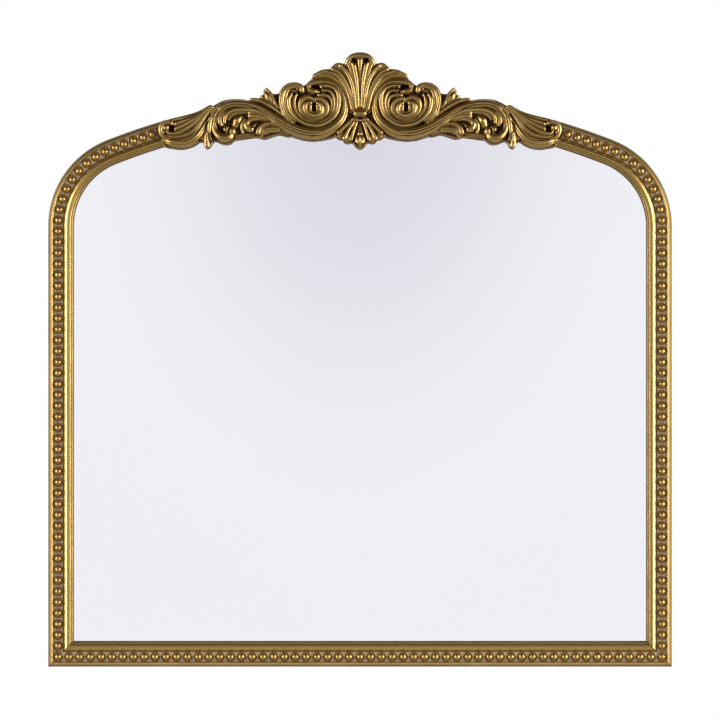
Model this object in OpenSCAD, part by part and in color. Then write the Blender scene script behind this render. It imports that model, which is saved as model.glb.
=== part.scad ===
// Arched wall mirror in a gilt, beaded moulding with a scrolled crest.
//
// Millimetres. The mirror is drawn lying on its back on a bench, with X across,
// Y up the mirror and Z out of its face, and each piece is then stood upright,
// so that its face looks along -Y. The origin is the middle of the lower back
// edge: the back of the frame is the plane y = 0 and its underside z = 0.

/* [Frame outline] */
// Width over the frame
frame_w = 914; // [820:1:1100]
// Height of the straight sides, up to the spring of the arch
jamb_h = 646; // [560:1:900]
// Rise of the arch above its spring line
arch_rise = 196; // [185:1:230]
// Outer radius of the arch's shoulders
corner_r = 135; // [110:1:150]

/* [Moulding section] */
// Width of the moulding seen from the front
moulding_w = 37; // [34:0.5:46]
// Height of the outer side, from the back plane
side_h = 13; // [11:0.5:14.5]
// Distance in from the outer edge at which the raised fillet starts
band_w = 5.4; // [4.5:0.1:7]
// Width of the raised fillet
fillet_w = 2.6; // [2:0.1:4]
// Height of the raised fillet
fillet_h = 21; // [19:0.5:24]
// Height of the bead channel's floor
floor_h = 16; // [15.5:0.5:18]
// Width of the bead channel
channel_w = 14.4; // [14:0.1:16]
// Width of the thin fillet inside the channel
bar_w = 1.4; // [1:0.1:2]
// Height of that thin fillet
bar_h = 18.8; // [18.4:0.1:20]
// Width of the groove beside it
groove_w = 1.2; // [0.8:0.1:2]
// Height of the big roll's crown
roll_h = 22.5; // [21:0.5:26]
// Width of the lip at the sight edge
lip_w = 3.2; // [2.4:0.1:4]
// Height of the lip
lip_h = 17.6; // [16.6:0.1:19]
// Width of the rabbet that holds the glass
rabbet_w = 6; // [5:0.5:9]

/* [Beads] */
// Diameter of a bead
bead_d = 10.8; // [8:0.1:12]
// Distance aimed at between two beads
bead_pitch = 15.8; // [14:0.1:20]
// Thickness of the composition strip under the beads
strip_t = 1.8; // [1.4:0.1:2.4]
// Width of the cup pressed round each bead
cup_d = 13.8; // [12.4:0.1:14]

/* [Crest] */
// Half of the crest's length along the arch
crest_reach = 296.5; // [292:0.5:306]
// Thickness of the castings' back plate
plate_t = 5; // [4:0.5:7]
// Height of a scroll above the landing, as a multiple of its half width
swell = 1.9; // [1.5:0.1:2.4]
// Height of the landing that is planed for the castings
landing_h = 15.4; // [14:0.1:15.4]
// Width pared off the frame's outer edge where the crest covers it
pare_w = 6; // [4:0.5:8]

/* [Glass and backing] */
// Thickness of the mirror glass
glass_t = 4; // [3:0.5:6]
// Thickness of the buffer sheet behind the glass
buffer_t = 1.7; // [1:0.1:3]
// Thickness of the backing board
backing_t = 3; // [2.5:0.5:4]
// Gap all round between the glass and the rabbet
edge_gap = 1; // [0.8:0.1:1.5]
// Length of a cork block that centres the glass
block_l = 40; // [20:1:60]

/* [Turn buttons] */
// Reach of a turn button from its pivot
button_reach = 20; // [16:0.5:24]
// Thickness of a turn button
button_t = 1.2; // [1:0.1:2]
// Radius of the button's round end at the pivot
button_r = 6; // [5:0.5:7]
// Distance of the pivot from the frame's outer edge
button_in = 20; // [18:0.5:24]
// Distance of the lower side buttons above the underside
button_low = 150; // [120:1:220]
// Distance of the upper side buttons above the underside
button_high = 430; // [300:1:480]
// Distance of the buttons on the bottom rail from its middle
button_side = 220; // [120:1:280]
// Angle of the buttons on the arch from its crown
button_angle = 5; // [4:0.1:6.5]

/* [Hangers] */
// Distance of the rings' hinge line below the top of the stiles
hanger_drop = 46; // [36:1:76]
// Length of a strap below the hinge line
strap_l = 44; // [40:1:60]
// Width of a strap
strap_w = 14; // [12:0.5:16]
// Thickness of a strap
strap_t2 = 1.2; // [1:0.1:2]
// Thickness of the ring's wire
ring_d = 3; // [2.5:0.1:3.5]
// Width inside a ring
ring_w = 20; // [19:0.5:24]
// Height inside a ring
ring_l = 20; // [16:0.5:24]

/* [Pads and braces] */
// Diameter of a wall pad
pad_d = 16; // [10:1:22]
// Thickness of a wall pad
pad_t = 6.5; // [6:0.1:9]
// Distance of the lower pads from the frame's sides
pad_in = 117; // [97:1:157]
// Length of a corner brace's arm
brace_l = 70; // [55:1:90]
// Width of a corner brace
brace_w = 14; // [12:0.5:18]
// Thickness of a corner brace
brace_t = 1.6; // [1.4:0.1:2.5]

/* [Screws and dowels] */
// Diameter of the screws' shanks
screw_d = 3.5; // [3:0.1:4]
// Diameter of a screw's head
head_d = 7; // [6:0.1:8]
// Height of a pan head
head_h = 2; // [1.5:0.1:2.5]
// Depth to which the screws go into the wood
screw_depth = 12; // [8:0.5:13]
// Depth to which the crest's screws go into a casting
crest_bite = 4; // [3:0.5:6]
// Diameter of a dowel
dowel_d = 6; // [5:0.5:8]
// Length of a dowel
dowel_l = 40; // [24:1:50]

/* [Hidden] */

fit = 0.05;        // clearance of a piece that is let into another
lift = 0.2;        // running gap under a turn button and under its screw's head
crest_size = crest_reach / 296.5;   // the castings' points are drawn for this reach
far = 400;         // longer than anything that is cut away
gilt = "#A78841";
dark_gilt = "#8B6F39";
steel = "#B9BBBD";

// The arch: two shoulders and a flat head, tangent to each other
half_w = frame_w / 2;
corner_x = half_w - corner_r;
arch_r = (corner_x * corner_x + arch_rise * arch_rise - corner_r * corner_r) / (2 * (arch_rise - corner_r));
arch_top = jamb_h + arch_rise;
arch_y = arch_top - arch_r;
head_half = atan(corner_x / (jamb_h - arch_y));
shoulder_angle = 90 - head_half;

// The moulding's section: u in from the outer edge, v up from the back plane
channel_u = band_w + fillet_w;
bar_u = channel_u + channel_w;
groove_u = bar_u + bar_w;
roll_u = groove_u + groove_w;
lip_u = moulding_w - lip_w;
crown_u = roll_u + 3.5;
rabbet_u = moulding_w - rabbet_w;
rabbet_h = glass_t + buffer_t + backing_t + 0.3;
bead_u = channel_u + channel_w / 2;
section = concat(
    [[0, 0], [0, side_h], [1.2, side_h + 2.2], [2.2, side_h + 3]],
    [[band_w - 0.2, fillet_h - 2.4], [band_w, fillet_h - 2], [band_w + 0.5, fillet_h - 0.5]],
    [[channel_u - fillet_w / 2, fillet_h], [channel_u - 0.4, fillet_h - 0.4], [channel_u, fillet_h - 1.2]],
    [[channel_u, floor_h], [bar_u, floor_h], [bar_u, bar_h - 0.3], [bar_u + 0.3, bar_h]],
    [[groove_u - 0.3, bar_h], [groove_u, bar_h - 0.4], [groove_u + 0.2, floor_h - 0.5], [roll_u, floor_h - 0.5]],
    [for (a = [0 : 15 : 90]) [crown_u - (crown_u - roll_u) * cos(a), floor_h + (roll_h - floor_h) * sin(a)]],
    [for (a = [12 : 12 : 72]) [crown_u + (lip_u - crown_u) * sin(a) / sin(72), roll_h - 4 * (1 - cos(a))]],
    [[lip_u + 0.1, lip_h - 0.5], [lip_u + 0.6, lip_h], [moulding_w - 1.4, lip_h - 0.4]],
    [[moulding_w - 0.4, lip_h - 2], [moulding_w, lip_h - 3.6], [moulding_w, rabbet_h], [rabbet_u, rabbet_h]],
    [[rabbet_u, 0]]);

// The beads' line and the crest's landing on the head
bead_r = bead_d / 2;
bead_rise = 0.9;
strip_w = channel_w - 2 * fit;
landing_half = asin((crest_reach - 12) / (arch_r - bead_u));
glass_in = rabbet_u + edge_gap;

// Screw holes
hole_r = screw_d / 2 + fit;
button_hole_r = screw_d / 2 + 0.08;
hang_x = half_w - rabbet_u / 2;
hanger_y = jamb_h - hanger_drop;
eye_h = strap_t2 + ring_d / 2 + 0.15;

// Beads per run: one on each lower corner, and every joint midway between two
across = frame_w - 2 * bead_u;
n_across = round(across / bead_pitch);
n_up = round((jamb_h - bead_u) / bead_pitch - 0.5);
n_shoulder = round((corner_r - bead_u) * shoulder_angle * PI / 180 / bead_pitch);
strip_end_half = asin((crest_reach + 1.5) / (arch_r - bead_u));
last_bead_half = asin((crest_reach + bead_r + 2) / (arch_r - bead_u));
n_head = round((arch_r - bead_u) * (head_half - last_bead_half) * PI / 180 / bead_pitch + 0.5);

// Stands a piece that lies on the bench upright
module upright() {
    rotate([90, 0, 0]) children();
}

module both_sides() {
    children();
    mirror([1, 0, 0]) children();
}

// An arched plate's outline, set in from the frame's outer edge: a square part,
// two pies for the shoulders and a sector for the head, which share their sides
module arch_outline(inset) {
    reach = corner_r * 3;
    lean = [reach * sin(head_half), reach * cos(head_half)];
    translate([inset - half_w, inset]) square([frame_w - 2 * inset, jamb_h - inset]);
    for (side = [-1, 1]) {
        translate([side * corner_x, jamb_h]) intersection() {
            circle(r = corner_r - inset, $fn = 360);
            polygon([[0, 0], [side * reach, 0], [side * reach, lean[1]], [side * lean[0], lean[1]]]);
        }
    }
    intersection() {
        translate([0, arch_y]) circle(r = arch_r - inset, $fn = 720);
        polygon([[-corner_x, jamb_h], [-corner_x - lean[0], jamb_h + lean[1]],
            [corner_x + lean[0], jamb_h + lean[1]], [corner_x, jamb_h]]);
    }
}

// A ring of a section, for the curved members: angles from +X, centre on the bench
module bent(section_points, centre, r, from, sweep) {
    translate([centre[0], centre[1], 0]) rotate([0, 0, from])
        rotate_extrude(angle = sweep, $fn = 720)
            polygon([for (p = section_points) [r - p[0], p[1]]]);
}

// Places on the frame's line, at a distance u in from its outer edge

module at_shoulder(angle, u) {
    translate([corner_x, jamb_h, 0]) rotate([0, 0, angle]) translate([corner_r - u, 0, 0]) children();
}

module at_head(angle, u) {
    translate([0, arch_y, 0]) rotate([0, 0, 90 - angle]) translate([arch_r - u, 0, 0]) children();
}

// Round holes for screws driven in from the back

module hole(x, y, depth) {
    translate([x, y, -1]) cylinder(r = hole_r, h = depth + 1.2, $fn = 32);
}

// Dowels across the joints of the right half; grow makes them the holes

module dowel_rod(grow) {
    rotate([90, 0, 0]) cylinder(r = dowel_d / 2 + grow, h = dowel_l + 10 * grow, center = true, $fn = 48);
}

module dowels(grow) {
    for (u = [channel_u + 2, bar_u + 1.5]) {
        translate([half_w - u, jamb_h, floor_h / 2]) dowel_rod(grow);
        at_shoulder(shoulder_angle, u) translate([0, 0, floor_h / 2]) dowel_rod(grow);
    }
}

module dowel_holes() {
    both_sides() dowels(fit);
}

// Where the screws go

brace_points = [[brace_l - 8, 0], [brace_l / 2 - 2, 0], [0, brace_l - 8], [0, brace_l / 2 - 2]];
brace_in = rabbet_u / 2;
strap_points = [16, strap_l - 7];
crest_points = crest_size * [[24, -19], [150, -31], [213, -43]];
palmette_points = crest_size * [[0, -13], [0, -27]];
button_places = [
    [-button_side, button_in, 90], [button_side, button_in, 90],
    [button_in - half_w, button_low, 0], [half_w - button_in, button_low, 180],
    [button_in - half_w, button_high, 0], [half_w - button_in, button_high, 180]];
head_pivot = arch_r - button_in;

// Frame members

module rail_blank() {
    translate([-half_w, 0, 0]) rotate([90, 0, 90]) linear_extrude(frame_w) polygon(section);
}

module mitre_cut(side) {
    // side 1 frees the stile's end, side -1 the rail's
    translate([0, 0, -1]) linear_extrude(far / 8)
        polygon(side == 1
            ? [[-half_w - 2, -2], [-half_w + moulding_w + 2, moulding_w + 2], [-half_w + moulding_w + 2, -2]]
            : [[-half_w - 2, -2], [-half_w + moulding_w + 2, moulding_w + 2], [-half_w - 2, moulding_w + 2]]);
}

module bottom_rail() {
    color(gilt) upright() difference() {
        rail_blank();
        both_sides() mitre_cut(-1);
        both_sides() for (p = brace_points) {
            if (p[1] == 0) hole(p[0] + brace_in - half_w, brace_in, screw_depth);
        }
        both_sides() hole(button_side, button_in, screw_depth);
    }
}

module stile() {
    difference() {
        translate([-half_w, jamb_h, 0]) rotate([90, 0, 0]) linear_extrude(jamb_h) polygon(section);
        mitre_cut(1);
        for (p = brace_points) {
            if (p[0] == 0) hole(brace_in - half_w, p[1] + brace_in, screw_depth);
        }
        hole(button_in - half_w, button_low, screw_depth);
        hole(button_in - half_w, button_high, screw_depth);
        for (y = strap_points) hole(-hang_x, hanger_y - y, screw_depth);
        dowel_holes();
    }
}

module left_stile() {
    color(gilt) upright() stile();
}

module right_stile() {
    color(gilt) upright() mirror([1, 0, 0]) stile();
}

module shoulder() {
    difference() {
        bent(section, [corner_x, jamb_h], corner_r, 0, shoulder_angle);
        dowel_holes();
    }
}

module left_shoulder() {
    color(gilt) upright() mirror([1, 0, 0]) shoulder();
}

module right_shoulder() {
    color(gilt) upright() shoulder();
}

// Under the crest the head is planed flat, just below the bead channel's floor,
// and its outer edge is pared back there so that the castings hide it.
landing_cut = [[-pare_w, -pare_w], [pare_w, -pare_w], [pare_w, landing_h], [2 * moulding_w, landing_h],
    [2 * moulding_w, 2 * roll_h], [-pare_w, 2 * roll_h]];

module arch_head() {
    color(gilt) upright() difference() {
        bent(section, [0, arch_y], arch_r, 90 - head_half, 2 * head_half);
        bent(landing_cut, [0, arch_y], arch_r, 90 - landing_half, 2 * landing_half);
        both_sides() volute_seat(0.3);
        dowel_holes();
        both_sides() for (p = crest_points) crest_hole(p);
        for (p = palmette_points) crest_hole(p);
        both_sides() at_head(button_angle, button_in) hole(0, 0, screw_depth);
    }
}

// Seat of the end volutes, let into the moulding
module volute_seat(grow) {
    for (p = crest_size * [[283.5, -54.5, 13.3], [281, -72, 10.5]]) {
        translate([p[0], arch_top + p[1], landing_h - fit]) cylinder(r = p[2] + grow, h = far / 8, $fn = 64);
    }
}

module crest_hole(p) {
    translate([p[0], arch_top + p[1], -1]) cylinder(r = screw_d / 2 + 0.15, h = far / 8, $fn = 32);
    translate([p[0], arch_top + p[1], -0.01]) cylinder(r1 = head_d / 2 + 0.1, r2 = screw_d / 2 + 0.1, h = 2, $fn = 32);
}

// Bead strips: a pressed composition strip with a cup round each bead

module bead() {
    translate([0, 0, floor_h + bead_rise]) sphere(r = bead_r, $fn = 48);
}

module cup() {
    translate([0, 0, floor_h + 0.4]) cylinder(r1 = bead_r + 0.2, r2 = cup_d / 2, h = strip_t - 0.39, $fn = 48);
}

module strip_of_beads(places) {
    difference() {
        union() {
            difference() {
                children();
                for (p = places) translate([p[0], p[1], 0]) cup();
            }
            for (p = places) translate([p[0], p[1], 0]) bead();
        }
        translate([-frame_w, -frame_w, floor_h - far]) cube([2 * frame_w, 3 * frame_w, far]);
    }
}

strip_half = strip_w / 2;

module bead_strip_bottom() {
    reach = half_w - bead_u;
    color(dark_gilt) upright()
        strip_of_beads([for (i = [0 : n_across]) [i * across / n_across - reach, bead_u]])
            translate([-reach - strip_half, bead_u - strip_half, floor_h])
                cube([across + strip_w, strip_w, strip_t]);
}

module upright_strip() {
    start = bead_u + channel_w / 2 + fit;
    step = (jamb_h - bead_u) / (n_up + 0.5);
    strip_of_beads([for (i = [1 : n_up]) [bead_u - half_w, bead_u + i * step]])
        translate([bead_u - strip_half - half_w, start, floor_h]) cube([strip_w, jamb_h - start, strip_t]);
}

module bead_strip_left() {
    color(dark_gilt) upright() upright_strip();
}

module bead_strip_right() {
    color(dark_gilt) upright() mirror([1, 0, 0]) upright_strip();
}

strip_section = [[bead_u - strip_half, floor_h], [bead_u + strip_half, floor_h],
    [bead_u + strip_half, floor_h + strip_t], [bead_u - strip_half, floor_h + strip_t]];

module shoulder_strip() {
    r = corner_r - bead_u;
    places = [for (i = [0 : n_shoulder - 1])
        let (a = shoulder_angle * (i + 0.5) / n_shoulder) [corner_x + r * cos(a), jamb_h + r * sin(a)]];
    strip_of_beads(places) bent(strip_section, [corner_x, jamb_h], corner_r, 0, shoulder_angle);
}

module bead_strip_left_shoulder() {
    color(dark_gilt) upright() mirror([1, 0, 0]) shoulder_strip();
}

module bead_strip_right_shoulder() {
    color(dark_gilt) upright() shoulder_strip();
}

module head_strip() {
    r = arch_r - bead_u;
    step = (head_half - last_bead_half) / (n_head - 0.5);
    places = [for (i = [0 : n_head - 1])
        let (a = head_half - (i + 0.5) * step) [r * sin(a), arch_y + r * cos(a)]];
    strip_of_beads(places)
        bent(strip_section, [0, arch_y], arch_r, 90 - head_half, head_half - strip_end_half);
}

module bead_strip_left_head() {
    color(dark_gilt) upright() mirror([1, 0, 0]) head_strip();
}

module bead_strip_right_head() {
    color(dark_gilt) upright() head_strip();
}

// Mirror, buffer, backing and edge blocks

module mirror_glass() {
    color("#E8E7F0") upright() translate([0, 0, rabbet_h - glass_t]) linear_extrude(glass_t)
        arch_outline(glass_in);
}

module buffer_sheet() {
    color("#F2F2EE") upright() translate([0, 0, rabbet_h - glass_t - buffer_t]) linear_extrude(buffer_t)
        arch_outline(glass_in);
}

module backing_board() {
    color("#8A6B4A") upright() translate([0, 0, rabbet_h - glass_t - buffer_t - backing_t])
        linear_extrude(backing_t) arch_outline(glass_in);
}

module cork_edge_blocks() {
    color("#B98A5A") upright() {
        for (x = [-half_w / 2, half_w / 2]) {
            translate([x - block_l / 2, rabbet_u, rabbet_h - glass_t]) cube([block_l, edge_gap, glass_t]);
        }
        both_sides() for (y = [jamb_h / 4, jamb_h * 3 / 4]) {
            translate([rabbet_u - half_w, y - block_l / 2, rabbet_h - glass_t]) cube([edge_gap, block_l, glass_t]);
        }
    }
}

// Turn buttons: each lies flat behind the frame and laps over the backing

module turn_button() {
    tip_r = 4;
    color(steel) upright() translate([0, 0, -lift - button_t]) difference() {
        union() {
            cylinder(r = button_r, h = button_t, $fn = 64);
            translate([button_reach - tip_r, 0, 0]) cylinder(r = tip_r, h = button_t, $fn = 64);
            linear_extrude(button_t) polygon([[0, -button_r], [button_reach - tip_r, -tip_r],
                [button_reach - tip_r, tip_r], [0, button_r]]);
        }
        translate([0, 0, -1]) cylinder(r = button_hole_r, h = button_t + 2, $fn = 48);
    }
}

module button_at(p) {
    translate([p[0], 0, p[1]]) rotate([0, -p[2], 0]) turn_button();
}

module button_on_head(side) {
    a = 90 - side * button_angle;
    translate([head_pivot * cos(a), 0, arch_y + head_pivot * sin(a)]) rotate([0, -a - 180, 0]) turn_button();
}

module pan_screw(gap) {
    // the head stands off the plane z = 0 by gap, and the shank runs up into the wood
    translate([0, 0, -gap - head_h]) cylinder(r1 = head_d / 2 - 0.8, r2 = head_d / 2, h = head_h, $fn = 48);
    translate([0, 0, -gap - 0.01]) cylinder(r = screw_d / 2, h = screw_depth + gap, $fn = 48);
}

module turn_button_screws() {
    gap = 2 * lift + button_t;
    color(steel) upright() {
        for (p = button_places) translate([p[0], p[1], 0]) pan_screw(gap);
        both_sides() at_head(button_angle, button_in) pan_screw(gap);
    }
}

// Hangers: a folded strap with an eye, and a ring that turns in it

module hanger_strap() {
    eye_r = ring_d / 2 + 0.06;
    translate([hang_x, hanger_y, 0]) difference() {
        union() {
            translate([-strap_w / 2, -strap_l, -strap_t2]) cube([strap_w, strap_l, strap_t2]);
            translate([-strap_w / 2, 0, -eye_h]) rotate([0, 90, 0])
                cylinder(r = eye_r + strap_t2, h = strap_w, $fn = 48);
        }
        translate([-strap_w / 2 - 1, 0, -eye_h]) rotate([0, 90, 0]) cylinder(r = eye_r, h = strap_w + 2, $fn = 48);
        translate([-strap_w, -strap_l, 0]) cube([2 * strap_w, 2 * strap_l, far]);
        for (y = strap_points) translate([0, -y, -far / 2]) cylinder(r = hole_r + 0.1, h = far, $fn = 48);
    }
}

module hanger_strap_left() {
    color(steel) upright() mirror([1, 0, 0]) hanger_strap();
}

module hanger_strap_right() {
    color(steel) upright() hanger_strap();
}

// The ring hangs from its straight pin, behind the strap
module hanger_ring() {
    leg_x = (ring_w + ring_d) / 2;
    bow_r = leg_x;
    leg_l = ring_l - bow_r + ring_d / 2;
    color(steel) upright() translate([hang_x, hanger_y, -eye_h]) {
        rotate([0, 90, 0]) cylinder(r = ring_d / 2, h = 2 * leg_x, center = true, $fn = 48);
        for (x = [-leg_x, leg_x]) {
            translate([x, 0, 0]) sphere(r = ring_d / 2, $fn = 48);
            translate([x, 0, 0]) rotate([90, 0, 0]) cylinder(r = ring_d / 2, h = leg_l, $fn = 48);
        }
        translate([0, -leg_l, 0]) rotate([0, 0, 180])
            rotate_extrude(angle = 180, $fn = 96) translate([bow_r, 0]) circle(r = ring_d / 2, $fn = 48);
    }
}

module hanger_ring_left() {
    mirror([1, 0, 0]) hanger_ring();
}

module hanger_ring_right() {
    hanger_ring();
}

module hanger_screws() {
    color(steel) upright() both_sides() for (y = strap_points) {
        translate([hang_x, hanger_y - y, 0]) pan_screw(strap_t2);
    }
}

// Wall pads, corner braces, dowels and the crest's screws

module pad() {
    translate([0, 0, -pad_t]) cylinder(r1 = pad_d / 2 - 1, r2 = pad_d / 2, h = 1, $fn = 64);
    translate([0, 0, 1 - pad_t]) cylinder(r = pad_d / 2, h = pad_t - 1, $fn = 64);
}

module wall_pads() {
    color("#2B2A29") upright() both_sides() {
        translate([half_w - pad_in, rabbet_u / 2, 0]) pad();
        at_shoulder(shoulder_angle / 2, rabbet_u / 2) pad();
    }
}

module corner_braces() {
    color(steel) upright() both_sides() difference() {
        translate([-half_w, 0, -brace_t]) linear_extrude(brace_t) polygon([
            [brace_in - brace_w / 2, brace_in - brace_w / 2], [brace_l + brace_in, brace_in - brace_w / 2],
            [brace_l + brace_in, brace_in + brace_w / 2], [brace_in + brace_w / 2, brace_in + brace_w / 2],
            [brace_in + brace_w / 2, brace_l + brace_in], [brace_in - brace_w / 2, brace_l + brace_in]]);
        for (p = brace_points) {
            translate([p[0] + brace_in - half_w, p[1] + brace_in, -far / 2])
                cylinder(r = hole_r + 0.1, h = far, $fn = 48);
        }
    }
}

module brace_screws() {
    color(steel) upright() both_sides() for (p = brace_points) {
        translate([p[0] + brace_in - half_w, p[1] + brace_in, 0]) pan_screw(brace_t);
    }
}

module joint_dowels() {
    color("#D9BE93") upright() both_sides() dowels(0);
}

module crest_screw(p) {
    translate([p[0], arch_top + p[1], 0]) {
        cylinder(r1 = head_d / 2, r2 = screw_d / 2, h = 1.9, $fn = 48);
        cylinder(r = screw_d / 2, h = landing_h + crest_bite, $fn = 48);
    }
}

module crest_screws() {
    color(steel) upright() {
        both_sides() for (p = crest_points) crest_screw(p);
        for (p = palmette_points) crest_screw(p);
    }
}

// Crest. Points are [x, y, half width], x out from the mirror's middle and y up
// from the arch's crown. A stroke is a rounded roll that follows its points.

function between(a, b, c, d, t) = 0.5 * (2 * b + (c - a) * t + (2 * a - 5 * b + 4 * c - d) * t * t
    + (3 * b - a - 3 * c + d) * t * t * t);
function curve(p, n) = concat([for (i = [0 : len(p) - 2], k = [0 : n - 1])
    between(p[max(i - 1, 0)], p[i], p[i + 1], p[min(i + 2, len(p) - 1)], k / n)], [p[len(p) - 1]]);

module knob(p, rise) {
    translate([p[0], arch_top + p[1], landing_h + 0.5]) {
        cylinder(r1 = p[2], r2 = 0.84 * p[2], h = 0.55 * rise * p[2] - 0.5, $fn = 10);
        cylinder(r = 0.36 * p[2], h = rise * p[2] - 0.5, $fn = 10);
    }
}

module stroke(points, n = 1, rise = swell) {
    line = crest_size * curve(points, n);
    for (i = [0 : len(line) - 2]) {
        hull() {
            knob(line[i], rise);
            knob(line[i + 1], rise);
        }
    }
}

module plate(outline, n = 2) {
    translate([0, arch_top, landing_h]) linear_extrude(plate_t) polygon(crest_size * curve(outline, n));
}

// The groove along which the palmette meets a scroll
seam = [[84, 40], [72, 24], [66, 19], [50, 18.5], [37, 14], [27, 5], [19, -7], [16.5, -20], [18, -33],
    [24, -46], [34, -58], [38, -67], [42, -80]];

module beside_seam(gap) {
    offset(delta = -gap) polygon(crest_size * concat([[120, 70]], seam, [[42, -far], [far, -far], [far, 70]]));
}

scroll_outline = [[68, 21], [55, 21], [40, 17], [28, 8], [18, -5], [15, -20], [17, -36], [24, -50], [36, -65],
    [50, -69.5], [65, -71.5], [80, -71], [95, -67], [112, -62], [125, -64.5], [140, -69], [153, -66.5],
    [170, -68], [183, -70.5], [190, -76], [200, -77], [210, -73], [215, -73.5], [219, -80], [224, -83.5],
    [228, -80], [230, -74], [236, -74], [248, -81], [262, -84], [276, -82.5], [287, -79.5], [290, -68],
    [295.5, -60], [296, -52], [290, -44], [279, -42], [262, -38.5], [245, -35.5], [228, -30], [214, -20.5],
    [200, -13], [184, -10.5], [170, -12], [160, -13.5], [150, -10], [143, -7], [138, 4], [134, 3], [128, -3],
    [118, -2], [110, 8], [100, 13.5], [89, 11.5], [83, 8.5], [76, 14]];

module scroll() {
    intersection() {
        translate([0, arch_top, 0]) linear_extrude(far / 4) beside_seam(0.1);
        difference() {
            union() {
                plate(scroll_outline);
                // the big C, its trunk and the curled leaf at the trunk's end
                stroke([[58, -5, 3.6], [68, -5, 4.6], [74, 2, 5.4], [69, 10, 6], [59, 12.8, 6.1], [47, 12, 6.2],
                    [36, 7, 6.6], [28, -2, 7], [24, -13, 7.3], [24, -26, 7.6], [28, -39, 8.2], [37.5, -50, 9],
                    [51, -58, 9.6], [66, -61.5, 9.9], [82, -61, 9.8], [97, -56.5, 9.6], [112, -49.5, 9.6],
                    [128, -41, 9.8], [145, -32, 9.8], [162, -25.5, 9.4], [180, -22, 9], [196, -24.5, 8.4],
                    [207, -33, 7.2], [212.5, -45, 6.4], [210, -58, 6.6], [202, -67, 8], [192, -67.5, 8],
                    [187.5, -59, 6.4]]);
                // the heart's outer arm and the thin ridges within it
                stroke([[88, -4, 4.2], [88.5, 4, 4.6], [95, 8, 5.2], [103.5, 6.5, 5.8], [110.5, -1, 6.2],
                    [113, -12, 6.4], [111, -25, 6], [105, -37, 5], [97, -46, 4]]);
                stroke([[99, -6, 2], [103.5, -17, 2.4], [101, -30, 2.6], [93, -41, 2.6], [80, -48.5, 2.4]], 1, 3.2);
                stroke([[55, -3, 2], [44, -4, 2.4], [38, -13, 2.6], [37, -25, 2.8], [42, -38, 2.8],
                    [52, -47, 2.6], [66, -50, 2.4]], 1, 3.2);
                // the rosette of the heart
                stroke([[70, -14, 4.6], [80, -18, 6], [83.5, -28, 6.2], [78, -38, 6.2], [66, -42, 6.2],
                    [54, -38, 6.2], [49.5, -28, 6.2], [54, -18, 6], [63, -15, 4.6]], 1, 1.7);
                // the leaf of two lobes under the trunk
                stroke([[163, -54, 6], [161, -46.5, 5.4], [150, -44.5, 5], [138, -47, 4.6], [126, -50, 4]]);
                stroke([[146, -59, 5], [138, -57.5, 6], [127, -55.5, 5.6], [116, -53.5, 4.6]]);
                // the small leaves above it
                stroke([[137, 4, 2.6], [138, -4, 5.2], [136, -13, 6], [131, -23, 5]], 1, 1.4);
                stroke([[156.5, -10.5, 2.4], [149, -13.5, 3.6], [138, -21, 3.6]], 1, 2);
                stroke([[126.5, -5, 2.2], [124.5, -15, 2.8], [119, -28, 2.8]], 1, 2.6);
                // the flutes that run down to the end volute
                stroke([[276, -43.5, 3], [262, -42.5, 4], [248, -40.5, 4], [234, -35.5, 3.6], [220, -27, 3.4],
                    [208, -20, 3]]);
                stroke([[270, -53, 3.6], [256, -51.5, 4.4], [244, -44.5, 4], [232, -36, 3.4], [220, -28, 3]]);
                stroke([[272, -63, 2.6], [258, -60, 3], [247, -53, 3], [237, -44, 2.8], [227, -35, 2.6]], 1, 2.6);
                // the end volute with its eye, and the roll that winds out of it
                stroke([[277, -61, 2.8], [285, -64.5, 2.8], [292.5, -58, 3], [291, -48.5, 3], [282, -45.5, 2.8],
                    [274.5, -51, 2.6]], 1, 3);
                stroke([[283, -54, 5.4], [282, -54, 5.4]], 1, 2);
                stroke([[286, -70, 5], [276, -73.5, 8], [262, -74.5, 9.2], [248, -71.5, 9.2], [238.5, -64, 8.4],
                    [231, -54, 6.6], [224.5, -44, 5.4], [217, -34, 4.8], [208, -25, 4.4]]);
                // the bud that hangs between volute and leaf
                stroke([[223.5, -79, 4.6], [223.5, -70, 5.4], [223.5, -60, 3.2]], 1, 1.8);
            }
            for (p = crest_points) casting_hole(p);
        }
    }
}

module casting_hole(p) {
    translate([p[0], arch_top + p[1], 0]) cylinder(r = screw_d / 2 + 0.1, h = landing_h + crest_bite + 0.3, $fn = 24);
}

palmette_outline = [[0, 57.5], [9, 56], [17, 50], [21, 42], [27, 39.5], [34, 39], [40, 33.5], [50, 30],
    [62, 27], [68, 22], [70, 17], [45, 14], [25, -2], [19, -20], [21, -40], [30, -52], [37, -64], [30, -68.5],
    [25, -69], [18, -74.5], [11, -75], [7, -80], [0, -84]];

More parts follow.
